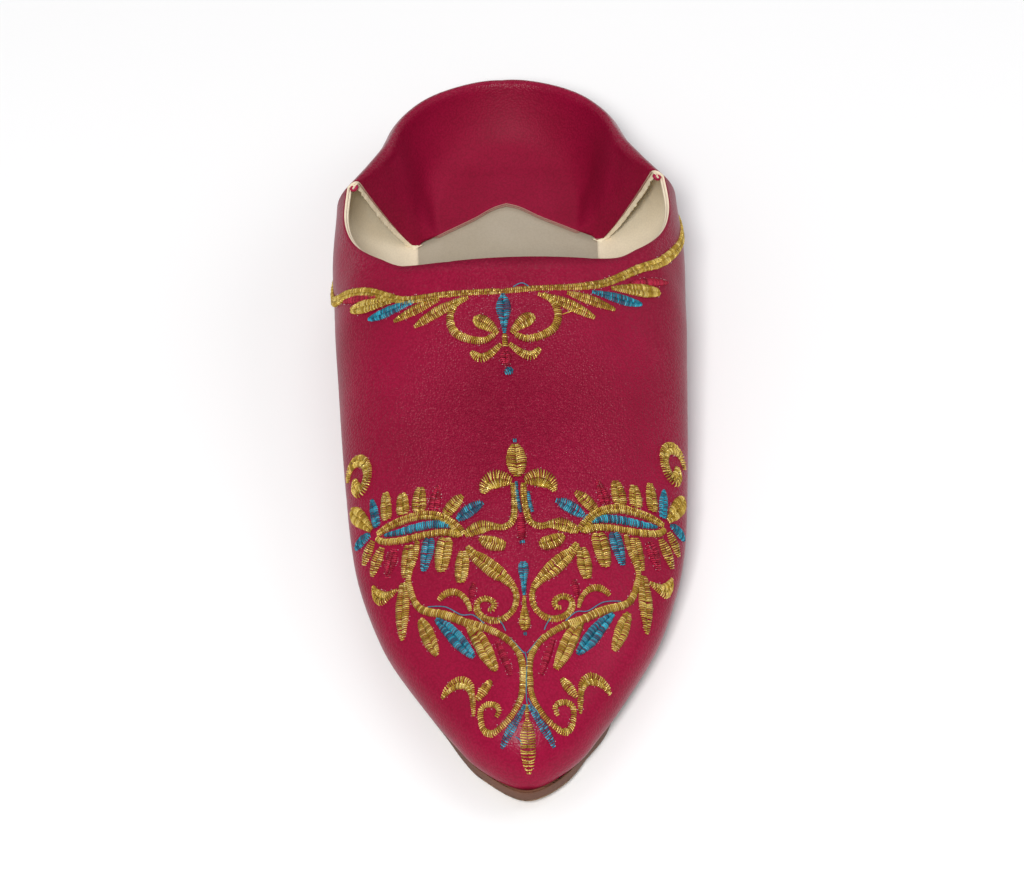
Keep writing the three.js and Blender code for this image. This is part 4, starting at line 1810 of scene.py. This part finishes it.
class Wardrobe:
    """Every finish of the slipper, made once."""

    def __init__(self) -> None:
        """Makes the finishes."""
        effects = Effects()
        crimson, deep = (0.285, 0.0035, 0.036), (0.225, 0.002, 0.025)
        dyed = (0.3, 0.05, 0.07)
        # The third colour is both the worn specks on the fold and the painted highlight on the
        # grain's tops.
        self.upper = Leather(
            "crimson leather", deep, crimson, (0.42, 0.06, 0.1), rub=0.22, bump=0.8,
            roughness=0.33, valley=0.34, gloss=0.14, peaks=0.4, hem=0.6,
        ).make(effects)
        self.under = Leather(
            "lining leather", (0.76, 0.65, 0.47), (0.88, 0.79, 0.61), (0.45, 0.36, 0.26),
            cell=1900.0, bump=0.25, roughness=0.62, valley=0.12,
        ).make(effects)
        self.scrap = Leather(
            "scrap leather", (0.34, 0.004, 0.045), (0.46, 0.01, 0.075), (0.5, 0.1, 0.15), bump=0.2,
        ).make(effects)
        self.raw = CutEdge("raw edge", (0.88, 0.8, 0.62), (0.72, 0.58, 0.42), dyed).make(effects)
        self.insole = Leather(
            "insole leather", (0.35, 0.3, 0.22), (0.42, 0.37, 0.29), (0.3, 0.2, 0.12),
            cell=1700.0, bump=0.22, roughness=0.6, valley=0.1, cloud=16.0,
        ).make(effects)
        self.insole_edge = CutEdge(
            "insole edge", (0.62, 0.55, 0.42), (0.52, 0.44, 0.32), dyed
        ).make(effects)
        self.sole_top = Leather(
            "sole leather", (0.15, 0.06, 0.034), (0.2, 0.09, 0.052), (0.5, 0.36, 0.24),
            cell=1300.0, roughness=0.6,
        ).make(effects)
        self.sole_under = Leather(
            "sole underside", (0.33, 0.2, 0.11), (0.44, 0.29, 0.17), (0.5, 0.36, 0.24),
            cell=1000.0, roughness=0.66, cloud=22.0, valley=0.3,
        ).make(effects)
        self.sole_edge = CutEdge(
            "sole edge", (0.19, 0.078, 0.045), (0.09, 0.036, 0.02), dyed
        ).make(effects)
        flosses = {
            GOLD: Floss(
                "gold thread", (0.34, 0.185, 0.012), (1.0, 0.68, 0.085), 0.28, 0.22,
                (1.0, 0.94, 0.5), 0.12,
            ),
            TEAL: Floss(
                "teal thread", (0.0, 0.085, 0.16), (0.0, 0.45, 0.66), 0.0, 0.34,
                (0.14, 0.8, 0.95),
            ),
            RED: Floss(
                "red thread", (0.3, 0.0, 0.02), (0.62, 0.003, 0.05), 0.0, 0.42,
                (0.85, 0.05, 0.14),
            ),
        }
        self.threads = {thread: floss.make(effects) for thread, floss in flosses.items()}
        padding = (0.62, 0.5, 0.47)
        dots = Floss("padding dots", (0.42, 0.24, 0.25), padding, 0.0, 0.7, padding)
        self.dots = dots.make(effects)


@dataclass
class Slipper:
    """The whole slipper: soles, upper and embroidery."""

    surface: Surface
    finishes: Wardrobe

    def soles(self) -> None:
        """Makes the outsole and the insole."""
        last, w = self.surface.last, self.finishes
        outsole = Board(
            self.surface, "board_sole", "outsole", "sole_leather", inset=0.0, low=0.0,
            thickness=last.outsole, rounding=0.7, ripple=0.5, tuck=1.5,
        )
        outsole.dress(outsole.build(), [w.sole_top, w.sole_edge, w.sole_under])
        insole = Board(
            self.surface, "sock", "insole", "insole_leather", inset=1.2, low=last.foot_height,
            thickness=last.insole, rounding=0.4,
        )
        insole.dress(insole.build(), [w.insole, w.insole_edge, w.insole])
        LOG.info("soles made")

    def upper(self) -> None:
        """Makes the outer leather, its lining, the turned edges and the scraps."""
        w = self.finishes
        upper = Upper(self.surface)
        sheet = upper.sheet()
        outer = upper.wall(sheet, "outer_leather", 0.0, upper.leather, [w.upper, w.under, w.raw])
        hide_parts("upper")
        upper.wall(
            sheet, "lining", upper.leather + upper.seam, upper.lining, [w.under, w.under, w.raw]
        )
        sheet.free()
        upper.turnings(w.under)
        upper.scraps(w.scrap)
        LOG.info("upper made")

    def piece(self, name: str, mesh: bpy.types.Mesh, finish: bpy.types.Material) -> None:
        """Adds threads to the upper.

        Args:
            name: the piece's name.
            mesh: the threads.
            finish: their finish.
        """
        obj = add_object(name, mesh, [finish])
        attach(obj, "root")
        LOG.info("%s: %d faces", name, len(mesh.polygons))

    def embroidery(self) -> None:
        """Works the whole pattern."""
        work = Embroidery(self.surface)
        zones = {
            "collar": COLLAR_BAND,
            "crown": CROWN + WING_RING,
            "heart": HEART + TOE,
        }
        for zone, elements in zones.items():
            for thread in Thread:
                if any(e.thread is thread for e in elements):
                    mesh = work.stitches(elements, thread)
                    self.piece(f"{zone}_{thread.value}", mesh, self.finishes.threads[thread])
        for thread in (TEAL, GOLD):
            mesh = work.loose(SLACK, thread)
            self.piece(f"carried_{thread.value}", mesh, self.finishes.threads[thread])
        everything = COLLAR_BAND + CROWN + WING_RING + HEART + TOE
        reds = [e for e in everything if e.thread is RED]
        rest = [e for e in everything if e.thread is not RED]
        self.piece("dots_red", work.holes(reds, 0.28), self.finishes.dots)
        self.piece("dots_rest", work.holes(rest, 0.08), self.finishes.dots)


def main() -> None:
    """Builds the slipper and its studio."""
    logging.basicConfig(level=logging.INFO, format="%(message)s")
    Studio().build()
    surface = Surface(Last(gap=0.05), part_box("outsole")[1][1])
    slipper = Slipper(surface, Wardrobe())
    slipper.soles()
    slipper.upper()
    slipper.embroidery()


if __name__ == "__main__":
    main()
